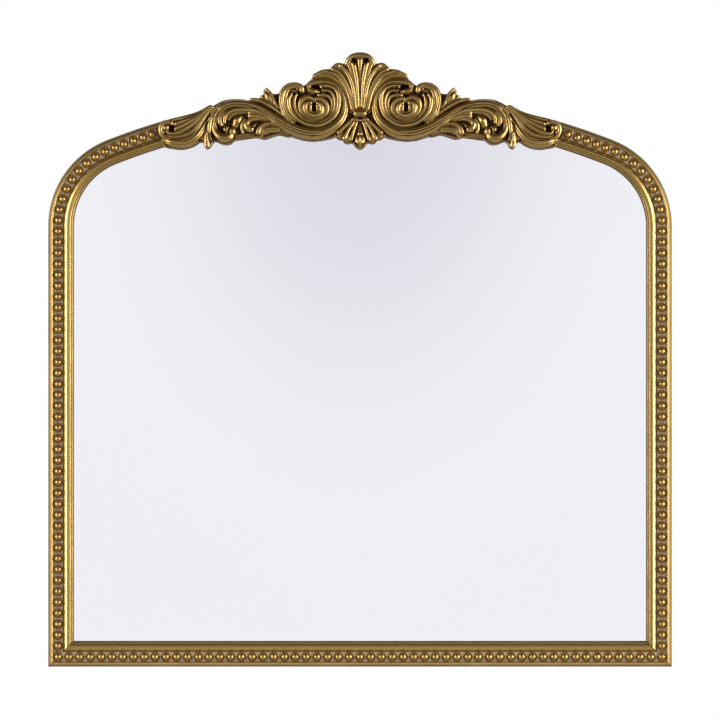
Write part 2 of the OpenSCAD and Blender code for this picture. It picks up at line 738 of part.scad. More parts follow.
module palmette() {
    half = crest_size * curve(palmette_outline, 2);
    difference() {
        intersection() {
            union() {
                translate([0, arch_top, landing_h]) linear_extrude(plate_t)
                    polygon(concat(half, [for (i = [len(half) - 2 : -1 : 1]) [-half[i][0], half[i][1]]]));
                both_sides() {
                    stroke([[15, 42, 5.6], [11, 28, 4.4], [7, 12, 3.2], [4.6, -4, 2.6], [3.6, -26, 2.4]], 1, 2.4);
                    stroke([[37, 34, 3.4], [29, 33.5, 4.8], [21.5, 25, 4.6], [15, 11, 4.2], [10, -6, 3.6],
                        [7.5, -27, 3]]);
                    stroke([[64, 23, 3.6], [52, 24.5, 4.8], [40, 22, 4.8], [29.5, 14, 4.6], [20.5, 2, 4.2],
                        [14, -12, 3.8], [11.5, -29, 3.2]]);
                    stroke([[9, -42, 3], [18, -54, 4], [28, -63, 5]]);
                    stroke([[7, -45, 3], [12.5, -57, 4.2], [18, -68, 5.6]]);
                }
                stroke([[0, 46, 11], [0, 32, 8], [0, 14, 4.4], [0, -26, 3]], 1, 1.6);
                // the knot that ties the petals, and the drop below it
                stroke([[-4.5, -35, 5.6], [4.5, -35, 5.6]], 1, 3);
                stroke([[0, -46, 3.4], [0, -58, 5.6], [0, -71, 8.6], [0, -79, 4.4]], 1, 2);
            }
            both_sides() translate([0, arch_top, 0]) linear_extrude(far / 4) difference() {
                translate([-0.01, -far]) square([far, 2 * far]);
                beside_seam(-0.1);
            }
        }
        for (p = palmette_points) casting_hole(p);
    }
}

module crest_palmette() {
    color(gilt) upright() palmette();
}

module crest_scroll_left() {
    color(gilt) upright() mirror([1, 0, 0]) scroll();
}

module crest_scroll_right() {
    color(gilt) upright() scroll();
}

bottom_rail();
left_stile();
right_stile();
left_shoulder();
right_shoulder();
arch_head();
bead_strip_bottom();
bead_strip_left();
bead_strip_right();
bead_strip_left_shoulder();
bead_strip_right_shoulder();
bead_strip_left_head();
bead_strip_right_head();
crest_palmette();
crest_scroll_left();
crest_scroll_right();
mirror_glass();
buffer_sheet();
backing_board();
cork_edge_blocks();
button_at(button_places[0]);  // turn_button_bottom_left
button_at(button_places[1]);  // turn_button_bottom_right
button_at(button_places[2]);  // turn_button_low_left
button_at(button_places[3]);  // turn_button_low_right
button_at(button_places[4]);  // turn_button_high_left
button_at(button_places[5]);  // turn_button_high_right
button_on_head(-1);  // turn_button_head_left
button_on_head(1);  // turn_button_head_right
turn_button_screws();
hanger_strap_left();
hanger_strap_right();
hanger_ring_left();
hanger_ring_right();
hanger_screws();
wall_pads();
corner_braces();
brace_screws();
joint_dowels();
crest_screws();
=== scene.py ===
import math

import bpy
import numpy as np
from mathutils import Matrix, Vector


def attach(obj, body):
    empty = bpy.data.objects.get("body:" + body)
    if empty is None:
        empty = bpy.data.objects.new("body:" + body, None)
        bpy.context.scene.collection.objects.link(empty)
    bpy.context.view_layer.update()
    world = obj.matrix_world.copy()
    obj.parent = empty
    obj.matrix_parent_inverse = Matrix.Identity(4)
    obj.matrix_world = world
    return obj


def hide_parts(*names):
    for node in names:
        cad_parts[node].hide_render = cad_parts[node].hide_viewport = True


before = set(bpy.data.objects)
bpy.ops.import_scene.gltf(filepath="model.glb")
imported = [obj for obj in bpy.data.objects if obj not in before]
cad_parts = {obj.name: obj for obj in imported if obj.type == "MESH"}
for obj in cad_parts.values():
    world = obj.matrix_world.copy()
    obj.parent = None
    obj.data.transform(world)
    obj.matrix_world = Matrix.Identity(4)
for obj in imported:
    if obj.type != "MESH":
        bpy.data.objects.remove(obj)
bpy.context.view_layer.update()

# Metres throughout, in the CAD model's frame: the glass faces -Y, the frame's back is
# the plane y = 0 and its underside z = 0. Sizes are written in millimetres times mm.
mm = 0.001
scene = bpy.context.scene
scene.view_settings.view_transform = "Standard"


# Camera
# Level with the mirror's middle and straight in front, far enough off that the outer sides
# hardly show.
camera_distance, middle_z = 3.5, 0.4495
camera = bpy.data.objects.new("camera", bpy.data.cameras.new("camera"))
scene.collection.objects.link(camera)
camera.location = (0, -camera_distance, middle_z)
camera.rotation_euler = (math.radians(90), 0, 0)
camera.data.sensor_width = 36
camera.data.lens = 119.0
scene.camera = camera


# Studio
# A white room, darker above and below and dimmer on the left, with an upright soft box at
# each side. The glass mirrors the cool grey patch on the wall just above the camera.
def linear(code):
    """A colour written as sRGB hex, as the shaders want it."""
    parts = [int(code[i:i + 2], 16) / 255 for i in (1, 3, 5)]
    curve = (c / 12.92 if c <= 0.04045 else ((c + 0.055) / 1.055) ** 2.4 for c in parts)
    return tuple(curve) + (1.0,)


def node(tree, kind, sockets=None, **settings):
    """Adds a node. A socket takes a value, or the output that feeds it."""
    made = tree.nodes.new(kind)
    for name, value in settings.items():
        setattr(made, name, value)
    for name, value in (sockets or {}).items():
        if isinstance(value, bpy.types.NodeSocket):
            tree.links.new(value, made.inputs[name])
        else:
            made.inputs[name].default_value = value
    return made


world = bpy.data.worlds.new("studio")
scene.world = world
world.use_nodes = True
tree = world.node_tree
tree.nodes.clear()
way = node(tree, "ShaderNodeTexCoord").outputs["Generated"]
split = node(tree, "ShaderNodeSeparateXYZ", {0: way})
# the walls: brightest a little above the middle, dark overhead and underfoot, dim on the left
bright_z = 0.06
above = node(tree, "ShaderNodeMath", {0: split.outputs["Z"], 1: bright_z},
             operation="SUBTRACT").outputs[0]
height = node(tree, "ShaderNodeMath", {0: above}, operation="ABSOLUTE").outputs[0]
sides = node(tree, "ShaderNodeMapRange", {
    "Value": split.outputs["X"], "From Min": -0.5, "From Max": 0.5, "To Min": 0.62}).outputs[0]
walls = node(tree, "ShaderNodeMapRange", {
    "Value": height, "From Min": 0.06, "From Max": 0.62, "To Min": sides, "To Max": 0.08},
    interpolation_type="SMOOTHSTEP").outputs[0]
# white in front of the mirror, where the camera stands, and behind it
lit = node(tree, "ShaderNodeMapRange", {
    "Value": split.outputs["Y"], "From Min": -0.978, "From Max": -0.9, "To Min": 1.0,
    "To Max": walls}, interpolation_type="SMOOTHSTEP").outputs[0]
level = node(tree, "ShaderNodeMapRange", {
    "Value": split.outputs["Y"], "From Min": 0.1, "From Max": 0.8, "To Min": lit},
    interpolation_type="SMOOTHSTEP").outputs[0]
# the cool patch, an upright oval
narrowing, patch_z = 1.6, 0.13
oval = node(tree, "ShaderNodeVectorMath", {
    0: way, 1: (narrowing, 0.0, 1.0), 2: (0.0, 0.0, -patch_z)},
    operation="MULTIPLY_ADD").outputs[0]
off = node(tree, "ShaderNodeVectorMath", {0: oval}, operation="LENGTH").outputs["Value"]
patch = node(tree, "ShaderNodeMapRange", {"Value": off, "From Min": 0.2, "From Max": 0.0},
             interpolation_type="SMOOTHSTEP").outputs[0]
cool = node(tree, "ShaderNodeMix", {
    "Factor": patch, "A": linear("#F5F5F9"), "B": linear("#DEDCE5")},
    data_type="RGBA").outputs["Result"]
room = node(tree, "ShaderNodeVectorMath", {0: cool, "Scale": level}, operation="SCALE").outputs[0]
# the camera sees plain white, metal and glass see the room, and the rest gets an even light
path = node(tree, "ShaderNodeLightPath").outputs
seen = node(tree, "ShaderNodeMix", {
    "Factor": path["Is Camera Ray"], "A": room, "B": (1.0, 1.0, 1.0, 1.0)},
    data_type="RGBA").outputs["Result"]
mirrored = node(tree, "ShaderNodeMath", {
    0: path["Is Glossy Ray"], 1: path["Is Transmission Ray"]}, operation="ADD").outputs[0]
direct = node(tree, "ShaderNodeMath", {0: mirrored, 1: path["Is Camera Ray"]},
              operation="ADD", use_clamp=True).outputs[0]
soft = node(tree, "ShaderNodeBackground", {
    "Color": (1.0, 1.0, 1.0, 1.0), "Strength": 0.65}).outputs[0]
shown = node(tree, "ShaderNodeBackground", {"Color": seen, "Strength": 1.0}).outputs[0]
blend = node(tree, "ShaderNodeMixShader", {0: direct, 1: soft, 2: shown}).outputs[0]
node(tree, "ShaderNodeOutputWorld", {"Surface": blend})

# the soft boxes stand beside the mirror and a little in front; their power is in watts
box_out, box_front, box_z, aim_z = 2.5, 0.85, 0.6, 0.45
for name, side, power in (("soft_box_right", 1, 44), ("soft_box_left", -1, 31)):
    lamp = bpy.data.objects.new(name, bpy.data.lights.new(name, "AREA"))
    scene.collection.objects.link(lamp)
    lamp.data.shape = "RECTANGLE"
    lamp.data.size = 0.9
    lamp.data.size_y = 2.4
    lamp.data.energy = power
    lamp.data.spread = math.radians(120)
    lamp.location = (side * box_out, -box_front, box_z)
    aim = Vector((0, 0, aim_z)) - Vector((side * box_out, -box_front, box_z))
    lamp.rotation_euler = aim.to_track_quat("-Z", "Y").to_euler()


def new_material(name):
    """An empty node material and its tree, with the surface's place in metres."""
    made = bpy.data.materials.new(name)
    made.use_nodes = True
    made.node_tree.nodes.clear()
    place = node(made.node_tree, "ShaderNodeTexCoord").outputs["Object"]
    return made, made.node_tree, place


def mottled(name, dark, light, per_metre, detail, rough, dents=0.0, metallic=0.0):
    """Two shades in soft patches, so many to the metre. rough is one value, or the two
    that the shades have, and dents is how much the patches stand out."""
    made, tree, place = new_material(name)
    patches = node(tree, "ShaderNodeTexNoise", {
        "Vector": place, "Scale": per_metre, "Detail": detail}).outputs["Fac"]
    tone = node(tree, "ShaderNodeMix", {
        "Factor": patches, "A": linear(dark), "B": linear(light)},
        data_type="RGBA").outputs["Result"]
    if isinstance(rough, tuple):
        rough = node(tree, "ShaderNodeMapRange", {
            "Value": patches, "To Min": rough[0], "To Max": rough[1]}).outputs[0]
    surface = node(tree, "ShaderNodeBsdfPrincipled", {
        "Base Color": tone, "Metallic": metallic, "Roughness": rough})
    if dents:
        bump = node(tree, "ShaderNodeBump", {
            "Strength": dents, "Distance": 0.1 * mm, "Height": patches})
        tree.links.new(bump.outputs[0], surface.inputs["Normal"])
    node(tree, "ShaderNodeOutputMaterial", {"Surface": surface.outputs[0]})
    return made


# a painted floor, clouded over about a metre, 1.5 m below the hanging mirror
bpy.ops.object.select_all(action="DESELECT")
bpy.ops.mesh.primitive_plane_add(size=5.0, location=(0, 0, -1.5))
floor = bpy.context.object
floor.name = "studio_floor"
floor.data.materials.append(mottled("studio_floor_paint", "#D8D6D3", "#E2E0DD", 0.8, 3.0, 0.9))


# Frame members
# Six lengths of one machined wood moulding, gessoed and gilded: two mitred corners below,
# two bent shoulders and the head, butted and dowelled. Their backs are bare pine.
frame_w, jamb_h, arch_rise, corner_r, moulding_w = 914, 646, 196, 135, 37
half_w = frame_w / 2
corner_x = half_w - corner_r
arch_r = (corner_x ** 2 + arch_rise ** 2 - corner_r ** 2) / (2 * (arch_rise - corner_r))
crown = jamb_h + arch_rise
arch_z = crown - arch_r
head_half = math.atan(corner_x / (jamb_h - arch_z))
shoulder = math.pi / 2 - head_half
# u runs in from the outer edge, v up from the back: the rabbet's corner, the middle line of
# the beads, and the landing, which ends 12 mm inside the ends of the crest
rabbet_u, rabbet_h = 31, 9
bead_u = 15.2
landing_v, crest_reach, landing_short = 15.4, 296.5, 12
landing_half = math.asin((crest_reach - landing_short) / (arch_r - bead_u))

# u, v, and how much glaze stays there, which also paints shade: most in the channel and the
# groove and on the outer and inner sides, least on the ridges
profile = [
    (0, 0, 0.9), (0, 11.6, 0.7), (0.35, 12.9, 0.62), (3.1, 17.2, 0.62), (3.7, 17.7, 0.6),
    (3.9, 18, 0.3), (5.5, 19.5, 0.05), (6.2, 20.1, 0), (6.9, 20.1, 0), (7.5, 19.7, 0.1),
    (7.95, 19, 0.35), (8, 18, 0.8), (8, 16, 1), (22.4, 16, 1), (22.4, 17.2, 0.6),
    (22.8, 17.5, 0.4), (23.3, 17.4, 0.6), (23.5, 17, 1), (23.8, 17.2, 0.8), (24.1, 18.3, 0.3),
    (24.4, 18.7, 0.1), (26.9, 20.7, 0.05)]
# the inner roll, an arc about its highest point
top_u, top_v, arc_u, arc_v = 29.4, 21.9, 3.6, 5.6
for step in range(7):
    turn = math.radians(30 - 7 * step)
    profile.append((top_u - arc_u * math.sin(turn), top_v - arc_v * (1 - math.cos(turn)),
                    0.1 + 0.03 * step))
profile += [
    (32.2, 21.1, 0.2), (33.3, 20.7, 0.25), (33.8, 20.2, 0.5), (33.9, 19.2, 1), (34, 17.4, 1),
    (34.3, 17.5, 0.3), (35, 17.5, 0.1), (35.7, 17.3, 0.3), (36.2, 16.8, 0.7), (36.7, 15.6, 1),
    (moulding_w, 14, 1), (moulding_w, rabbet_h, 0.9), (rabbet_u, rabbet_h, 0.9),
    (rabbet_u, 0, 0.9)]
landing = [
    (6, 0, 0.9), (6, 14.8, 0.6), (6.5, landing_v, 0.5), (36.5, landing_v, 0.5),
    (moulding_w, 14.8, 0.6), (moulding_w, rabbet_h, 0.9), (rabbet_u, rabbet_h, 0.9),
    (rabbet_u, 0, 0.9)]


def inset(x, z):
    """Distance in from the frame's outer edge, in millimetres, of a point in metres."""
    x, z = abs(x / mm), z / mm
    if z < jamb_h:
        return min(z, half_w - x)
    if (x - corner_x) * math.cos(shoulder) > (z - jamb_h) * math.cos(shoulder) / math.tan(shoulder):
        return corner_r - math.hypot(x - corner_x, z - jamb_h)
    return arch_r - math.hypot(x, z - arch_z)


def pick(*objects):
    """Selects these alone; the first is the active one."""
    bpy.ops.object.select_all(action="DESELECT")
    for one in objects:
        one.select_set(True)
    bpy.context.view_layer.objects.active = objects[0]


def edit_all():
    """Opens edit mode with the whole mesh selected."""
    bpy.ops.object.mode_set(mode="EDIT")
    bpy.ops.mesh.select_all(action="SELECT")


def face_out():
    """Turns the faces outwards and leaves edit mode."""
    bpy.ops.mesh.select_all(action="SELECT")
    bpy.ops.mesh.normals_make_consistent(inside=False)
    bpy.ops.object.mode_set(mode="OBJECT")


def close_ends():
    """Caps the open ends, turns the faces outwards and leaves edit mode."""
    bpy.ops.mesh.select_all(action="SELECT")
    bpy.ops.mesh.fill_holes(sides=0)
    face_out()


def ring_of(name, points, put):
    """A closed ring of section points, each put in its place; opens edit mode."""
    bpy.ops.object.select_all(action="DESELECT")
    bpy.ops.mesh.primitive_circle_add(vertices=len(points))
    made = bpy.context.object
    made.name = name
    for vertex, point in zip(made.data.vertices, points):
        vertex.co = Vector(put(point[0], point[1])) * mm
    # the third figure of each point: glaze, which also paints shade
    kept = made.data.attributes.new("glaze", "FLOAT", "POINT")
    kept.data.foreach_set("value", [point[2] for point in points])
    edit_all()
    return made


def mitre(corner, facing, before=1.2):
    """Cuts all that is selected at a mitre, with a second line just before it."""
    out = Vector(facing).normalized()
    bpy.ops.mesh.bisect(plane_co=Vector(corner) * mm - out * before * mm, plane_no=out)
    bpy.ops.mesh.select_all(action="SELECT")
    bpy.ops.mesh.bisect(plane_co=Vector(corner) * mm, plane_no=out, clear_outer=True)
    bpy.ops.mesh.select_all(action="SELECT")


def stain_joint(made, corner, facing, near=0.02):
    """Glaze gathers in a mitre's line, on every point that lies near its plane."""
    out = Vector(facing).normalized()
    for vertex in made.data.vertices:
        if abs((vertex.co - Vector(corner) * mm).dot(out)) < near * mm:
            made.data.attributes["glaze"].data[vertex.index].value = 1.0


rail = ring_of("gilt_bottom_rail", profile, lambda u, v: (-half_w, -v, u))
bpy.ops.mesh.extrude_region_move(TRANSFORM_OT_translate={"value": (frame_w * mm, 0, 0)})
bpy.ops.mesh.select_all(action="SELECT")
for side in (-1, 1):
    mitre((side * half_w, 0, 0), (side, 0, 1))
close_ends()
for side in (-1, 1):
    stain_joint(rail, (side * half_w, 0, 0), (side, 0, 1))

stile = ring_of("gilt_right_stile", profile, lambda u, v: (half_w - u, -v, jamb_h))
bpy.ops.mesh.extrude_region_move(TRANSFORM_OT_translate={"value": (0, 0, -jamb_h * mm)})
bpy.ops.mesh.select_all(action="SELECT")
mitre((half_w, 0, 0), (-1, 0, -1))
close_ends()
stain_joint(stile, (half_w, 0, 0), (-1, 0, -1))

bend = ring_of("gilt_right_shoulder", profile, lambda u, v: (half_w - u, -v, jamb_h))
bpy.ops.mesh.spin(steps=28, angle=shoulder, center=(corner_x * mm, 0, jamb_h * mm),
                  axis=(0, 1, 0))
close_ends()


def on_head(turn, u, v):
    """A point of the head's section, at an angle from upright, in millimetres."""
    return ((arch_r - u) * math.sin(turn), -v, arch_z + (arch_r - u) * math.cos(turn))


head = ring_of("gilt_arch_head", landing, lambda u, v: on_head(landing_half, u, v))
bpy.ops.mesh.spin(steps=40, angle=2 * landing_half, center=(0, 0, arch_z * mm), axis=(0, 1, 0))
close_ends()
haunch = ring_of("haunch", profile, lambda u, v: on_head(head_half, u, v))
bpy.ops.mesh.spin(steps=8, angle=head_half - landing_half, center=(0, 0, arch_z * mm),
                  axis=(0, 1, 0))
close_ends()


def mirrored_copy(made, name):
    """The same piece for the other side, turned right side out."""
    other = made.copy()
    other.data = made.data.copy()
    other.name = name
    scene.collection.objects.link(other)
    other.data.transform(Matrix.Scale(-1, 4, (1, 0, 0)))
    other.data.flip_normals()
    return other


pick(head, haunch, mirrored_copy(haunch, "left_haunch"))
bpy.ops.object.join()


def gilding(name, leaf, worn, wash_and_shade, shine, grain, dulled=0.85):
    """Metal leaf, toned with a glaze that is wiped off the high places, under wax; where the
    glaze stays, its colour also paints shade in the hollows and low places. leaf and worn
    are the metal's colours and the last colour the glaze's, which is painted shade too where
    it is dark; the grain is in millimetres, and dulled is how metallic the glaze still looks."""
    made, tree, place = new_material(name)
    # the glaze left at each point, which is painted shade as well as glaze
    left = node(tree, "ShaderNodeAttribute", attribute_name="glaze").outputs["Fac"]
    # patches some 36 mm across and the fine grain decide where the glaze has worn through
    cloud = node(tree, "ShaderNodeTexNoise", {
        "Vector": place, "Scale": 28.0, "Detail": 4.0, "Roughness": 0.6}).outputs["Fac"]
    speck = node(tree, "ShaderNodeTexNoise", {
        "Vector": place, "Scale": 1000 / grain, "Detail": 3.0, "Roughness": 0.65}).outputs["Fac"]
    drift = node(tree, "ShaderNodeMath", {0: cloud, 1: 0.45, 2: left},
                 operation="MULTIPLY_ADD").outputs[0]
    fleck = node(tree, "ShaderNodeMath", {0: speck, 1: 0.35, 2: drift},
                 operation="MULTIPLY_ADD").outputs[0]
    # how fully the glaze, and the shade it paints, covers the leaf
    glaze_and_shade_cover = node(tree, "ShaderNodeMapRange", {
        "Value": fleck, "From Min": 0.55, "From Max": 1.25},
        interpolation_type="SMOOTHSTEP").outputs[0]
    bare = node(tree, "ShaderNodeMapRange", {
        "Value": fleck, "From Min": 0.45, "From Max": 0.29, "To Max": 0.8}).outputs[0]
    metal = node(tree, "ShaderNodeMix", {"Factor": bare, "A": linear(leaf), "B": linear(worn)},
                 data_type="RGBA").outputs["Result"]
    tone = node(tree, "ShaderNodeMix", {"Factor": glaze_and_shade_cover, "A": metal, "B": linear(wash_and_shade)},
                data_type="RGBA").outputs["Result"]
    metallic = node(tree, "ShaderNodeMapRange", {
        "Value": glaze_and_shade_cover, "To Min": 1.0, "To Max": dulled}).outputs[0]
    scuff = node(tree, "ShaderNodeMath", {0: speck, 1: 0.1, 2: shine - 0.05},
                 operation="MULTIPLY_ADD").outputs[0]
    rough = node(tree, "ShaderNodeMath", {0: glaze_and_shade_cover, 1: 0.3, 2: scuff},
                 operation="MULTIPLY_ADD").outputs[0]
    bump = node(tree, "ShaderNodeBump", {
        "Strength": 0.12, "Distance": 0.12 * mm, "Height": speck}).outputs[0]
    wax = node(tree, "ShaderNodeMapRange", {
        "Value": glaze_and_shade_cover, "To Min": 0.6, "To Max": 0.1}).outputs[0]
    surface = node(tree, "ShaderNodeBsdfPrincipled", {
        "Base Color": tone, "Metallic": metallic, "Roughness": rough, "Normal": bump,
        "Coat Weight": wax, "Coat Roughness": 0.3})
    node(tree, "ShaderNodeOutputMaterial", {"Surface": surface.outputs[0]})
    return made


# brass leaf, wiped nearly clean on the mouldings, so the roll keeps its sheen
gilt_wood = gilding("antique_brass_leaf_on_wood", "#B3914C", "#D2B878", "#6A552F", 0.34, 1.6)

# planed pine, never sealed: pale, with faint straight grain 3 mm apart
pine, tree, place = new_material("planed_pine")
drawn = node(tree, "ShaderNodeMapping", {"Vector": place, "Scale": (1.0, 1.0, 0.08)}).outputs[0]
rings = node(tree, "ShaderNodeTexNoise", {
    "Vector": drawn, "Scale": 300.0, "Detail": 5.0, "Distortion": 0.4}).outputs["Fac"]
tone = node(tree, "ShaderNodeMix", {
    "Factor": rings, "A": linear("#B58C58"), "B": linear("#DDBC8A")},
    data_type="RGBA").outputs["Result"]
bump = node(tree, "ShaderNodeBump", {
    "Strength": 0.3, "Distance": 0.2 * mm, "Height": rings}).outputs[0]
surface = node(tree, "ShaderNodeBsdfPrincipled", {
    "Base Color": tone, "Roughness": 0.72, "Normal": bump})
node(tree, "ShaderNodeOutputMaterial", {"Surface": surface.outputs[0]})

left_stile = mirrored_copy(stile, "gilt_left_stile")
left_bend = mirrored_copy(bend, "gilt_left_shoulder")
for made, cad in ((rail, "bottom_rail"), (stile, "right_stile"), (left_stile, "left_stile"),
                  (bend, "right_shoulder"), (left_bend, "left_shoulder"), (head, "arch_head")):
    made.data.materials.append(gilt_wood)
    made.data.materials.append(pine)
    # bare are the back and the rabbet's side, which lies well inside the outer edge
    for face in made.data.polygons:
        x, y, z = face.center
        wall = y > -rabbet_h * mm and inset(x, z) > 7 and abs(face.normal.y) < 0.5
        face.material_index = 1 if face.normal.y > 0.5 or wall else 0
    pick(made)
    bpy.ops.object.shade_smooth_by_angle(angle=math.radians(38))
    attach(made, "mirror")
    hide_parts(cad)


# Bead strips
# Pressed composition, steamed and glued into the channel in runs. Each bead sits in a cup
# whose raised lip meets the next one's, with a dark line of glaze between the two.
bead_r, pitch, strip_half, floor_v = 5.4, 15.8, 7.15, 16
round_points = 16
# distance from the bead's centre, height above the channel floor, glaze; None is the cell's edge
cell_rings = [
    (None, 0, 1.0), (None, 2.1, 0.9), (7.4, 2.3, 0.6), (6.9, 3.1, 0.05), (6.2, 2.4, 0.3),
    (bead_r, 0.9, 1.0), (5.0, 1.4, 0.8), (4.3, 3.9, 0.2), (2.3, 5.6, 0.05), (0, 6.2, 0.0)]
bpy.ops.object.select_all(action="DESELECT")
bpy.ops.mesh.primitive_circle_add(vertices=round_points)
cell = bpy.context.object
cell.name = "bead_cell"
bpy.ops.object.mode_set(mode="EDIT")
for step in cell_rings[1:]:
    bpy.ops.mesh.extrude_region_move()
bpy.ops.object.mode_set(mode="OBJECT")
kept = cell.data.attributes.new("glaze", "FLOAT", "POINT")
for index, vertex in enumerate(cell.data.vertices):
    far, up, glaze_and_shade = cell_rings[index // round_points]
    turn = math.tau * (index % round_points) / round_points
    x, y = math.cos(turn), math.sin(turn)
    if far is None:
        reach = 1 / max(abs(x) / (pitch / 2), abs(y) / strip_half)
        x, y = x * reach, y * reach
        if index % 4 == 2:      # the diagonal points go right into the corners
            x, y = math.copysign(pitch / 2, x), math.copysign(strip_half, y)
    else:
        edge = strip_half - 0.03
        x, y = x * far, max(-edge, min(edge, y * far))
    vertex.co = Vector((x, y, up)) * mm
    kept.data[index].value = glaze_and_shade
edit_all()
bpy.ops.mesh.remove_doubles(threshold=0.01 * mm)
close_ends()


def bead_run(name, places, put, low=-math.inf):
    """Copies of the cell at places along a run; put(s, u, v) carries a point onto the frame."""
    gap = abs(places[1] - places[0])
    run = []
    for spot in places:
        one = cell.copy()
        one.data = cell.data.copy()
        scene.collection.objects.link(one)
        for vertex in one.data.vertices:
            s = max(low, spot + vertex.co.x / mm * gap / pitch)
            vertex.co = Vector(put(s, bead_u + vertex.co.y / mm, floor_v + vertex.co.z / mm)) * mm
        run.append(one)
    pick(*reversed(run))
    bpy.ops.object.join()
    one.name = name
    edit_all()
    face_out()
    bpy.ops.object.shade_smooth_by_angle(angle=math.radians(50))
    return one


def finish_strip(made, cad):
    """Gilds a strip and sets it on the frame."""
    made.data.materials.append(gilt_strip)
    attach(made, "mirror")
    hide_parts(cad)


# the strips keep most of their glaze: pale tan between the cups, amber on the beads
gilt_strip = gilding("antique_brass_leaf_on_composition", "#A8823C", "#D2B26E", "#9C8969",
                     0.4, 1.2, 0.3)
below_count, side_count, shoulder_count, head_count = 57, 39, 9, 5
across = frame_w - 2 * bead_u
below = bead_run(
    "beads_bottom",
    [across * i / (below_count - 1) - across / 2 for i in range(below_count)],
    lambda s, u, v: (min(s, across / 2 + strip_half), -v, u), -across / 2 - strip_half)
finish_strip(below, "bead_strip_bottom")
rise = (jamb_h - bead_u) / (side_count + 0.5)
upright = bead_run("beads_right", [bead_u + rise * i for i in range(1, side_count + 1)],
                   lambda s, u, v: (half_w - u, -v, s))
bend_r = corner_r - bead_u
round_beads = bead_run(
    "beads_right_shoulder",
    [bend_r * shoulder * (i + 0.5) / shoulder_count for i in range(shoulder_count)],
    lambda s, u, v: (corner_x + (corner_r - u) * math.cos(s / bend_r), -v,
                     jamb_h + (corner_r - u) * math.sin(s / bend_r)))
# on the head, the last bead stops short of the crest
flat_r, crest_gap = arch_r - bead_u, 2
last = math.asin((crest_reach + bead_r + crest_gap) / flat_r)
flat_step = flat_r * (head_half - last) / (head_count - 0.5)
flat_beads = bead_run("beads_right_head", [flat_step * (i + 0.5) for i in range(head_count)],
                      lambda s, u, v: on_head(head_half - s / flat_r, u, v))
for made, part in ((upright, "right"), (round_beads, "right_shoulder"),
                   (flat_beads, "right_head")):
    other = part.replace("right", "left")
    finish_strip(mirrored_copy(made, "beads_" + other), "bead_strip_" + other)
    finish_strip(made, "bead_strip_" + part)
bpy.data.objects.remove(cell)


# Crest
# Two scrolls and a palmette, cast in polyresin from carved patterns and screwed on from
# behind. The patterns are built up of rounded rolls, then fluted and undercut with a gouge.
def line_through(points, n=5):
    """A smooth line through the points, with n steps from each to the next."""
    p = [np.array(point, float) for point in points]
    made = []
    for i in range(len(p) - 1):
        a, b, c, d = p[max(i - 1, 0)], p[i], p[i + 1], p[min(i + 2, len(p) - 1)]
        for k in range(n):
            t = k / n
            made.append(0.5 * (2 * b + (c - a) * t + (2 * a - 5 * b + 4 * c - d) * t * t
                               + (3 * b - a - 3 * c + d) * t ** 3))
    return made + [p[-1]]


# rolls under slim are fattened, no dome is steeper than steep, and both rolls and plate
# have roots that reach through the landing until the back is cut flat
slim, fatten, steep, root = 5.3, 1.12, 1.6, 1
plate_thick, plate_root = 4.6, 1.5


def roll(points, top):
    """A rounded roll along points (x, z above the crown, half width); top is its height above
    the landing."""
    line = line_through(points)
    broad = max(point[2] for point in line)
    fuller = fatten if broad < slim else 1.0
    dome = min(top, steep * broad)
    path = bpy.data.curves.new("roll", "CURVE")
    path.dimensions = "3D"
    path.twist_mode = "MINIMUM"
    path.bevel_depth = mm
    path.bevel_resolution = 4
    path.use_fill_caps = True
    spline = path.splines.new("POLY")
    spline.points.add(len(line) - 1)
    for point, (x, z, r) in zip(spline.points, line):
        point.co = (x * mm, 0, z * mm, 1)
        point.radius = r * fuller
    tube = bpy.data.objects.new("roll", path)
    scene.collection.objects.link(tube)
    pick(tube)
    bpy.ops.object.convert(target="MESH")
    tube = bpy.context.object
    for x, z, r in (line[0], line[-1]):
        bpy.ops.mesh.primitive_uv_sphere_add(segments=16, ring_count=10, radius=r * fuller * mm,
                                             location=(x * mm, 0, z * mm))
        bpy.ops.object.transform_apply()
        pick(tube, bpy.context.object)
        bpy.ops.object.join()
    for vertex in tube.data.vertices:
        deep = vertex.co.y * (dome if vertex.co.y < 0 else top - dome + root) / (broad * fuller)
        vertex.co = (vertex.co.x, deep - (landing_v + top - dome) * mm, vertex.co.z + crown * mm)
    return tube


def plate(outline):
    """A flat piece with a smoothed outline, standing on the landing."""
    line = line_through(outline + [outline[0]], 3)[:-1]
    bpy.ops.object.select_all(action="DESELECT")
    bpy.ops.mesh.primitive_circle_add(vertices=len(line), fill_type="NGON")
    made = bpy.context.object
    for vertex, (x, z) in zip(made.data.vertices, line):
        vertex.co = (x * mm, -(landing_v - plate_root) * mm, (z + crown) * mm)
    edit_all()
    bpy.ops.mesh.extrude_region_move(
        TRANSFORM_OT_translate={"value": (0, -(plate_thick + plate_root) * mm, 0)})
    close_ends()
    return made


def beside(points, share):
    """The line that keeps to one side of a roll, a share of its half width from its middle."""
    line = line_through(points)
    made = []
    for i, (x, z, r) in enumerate(line):
        a, b = line[max(i - 1, 0)], line[min(i + 1, len(line) - 1)]
        size = math.hypot(b[0] - a[0], b[1] - a[1])
        made.append((x - (b[1] - a[1]) / size * r * share, z + (b[0] - a[0]) / size * r * share))
    return made


def surface_of(made):
    """A mesh's points and their normals, as arrays, in metres."""
    co, normal = np.empty((2, len(made.data.vertices) * 3))
    made.data.vertices.foreach_get("co", co)
    made.data.vertex_normals.foreach_get("vector", normal)
    return co.reshape(-1, 3), normal.reshape(-1, 3)


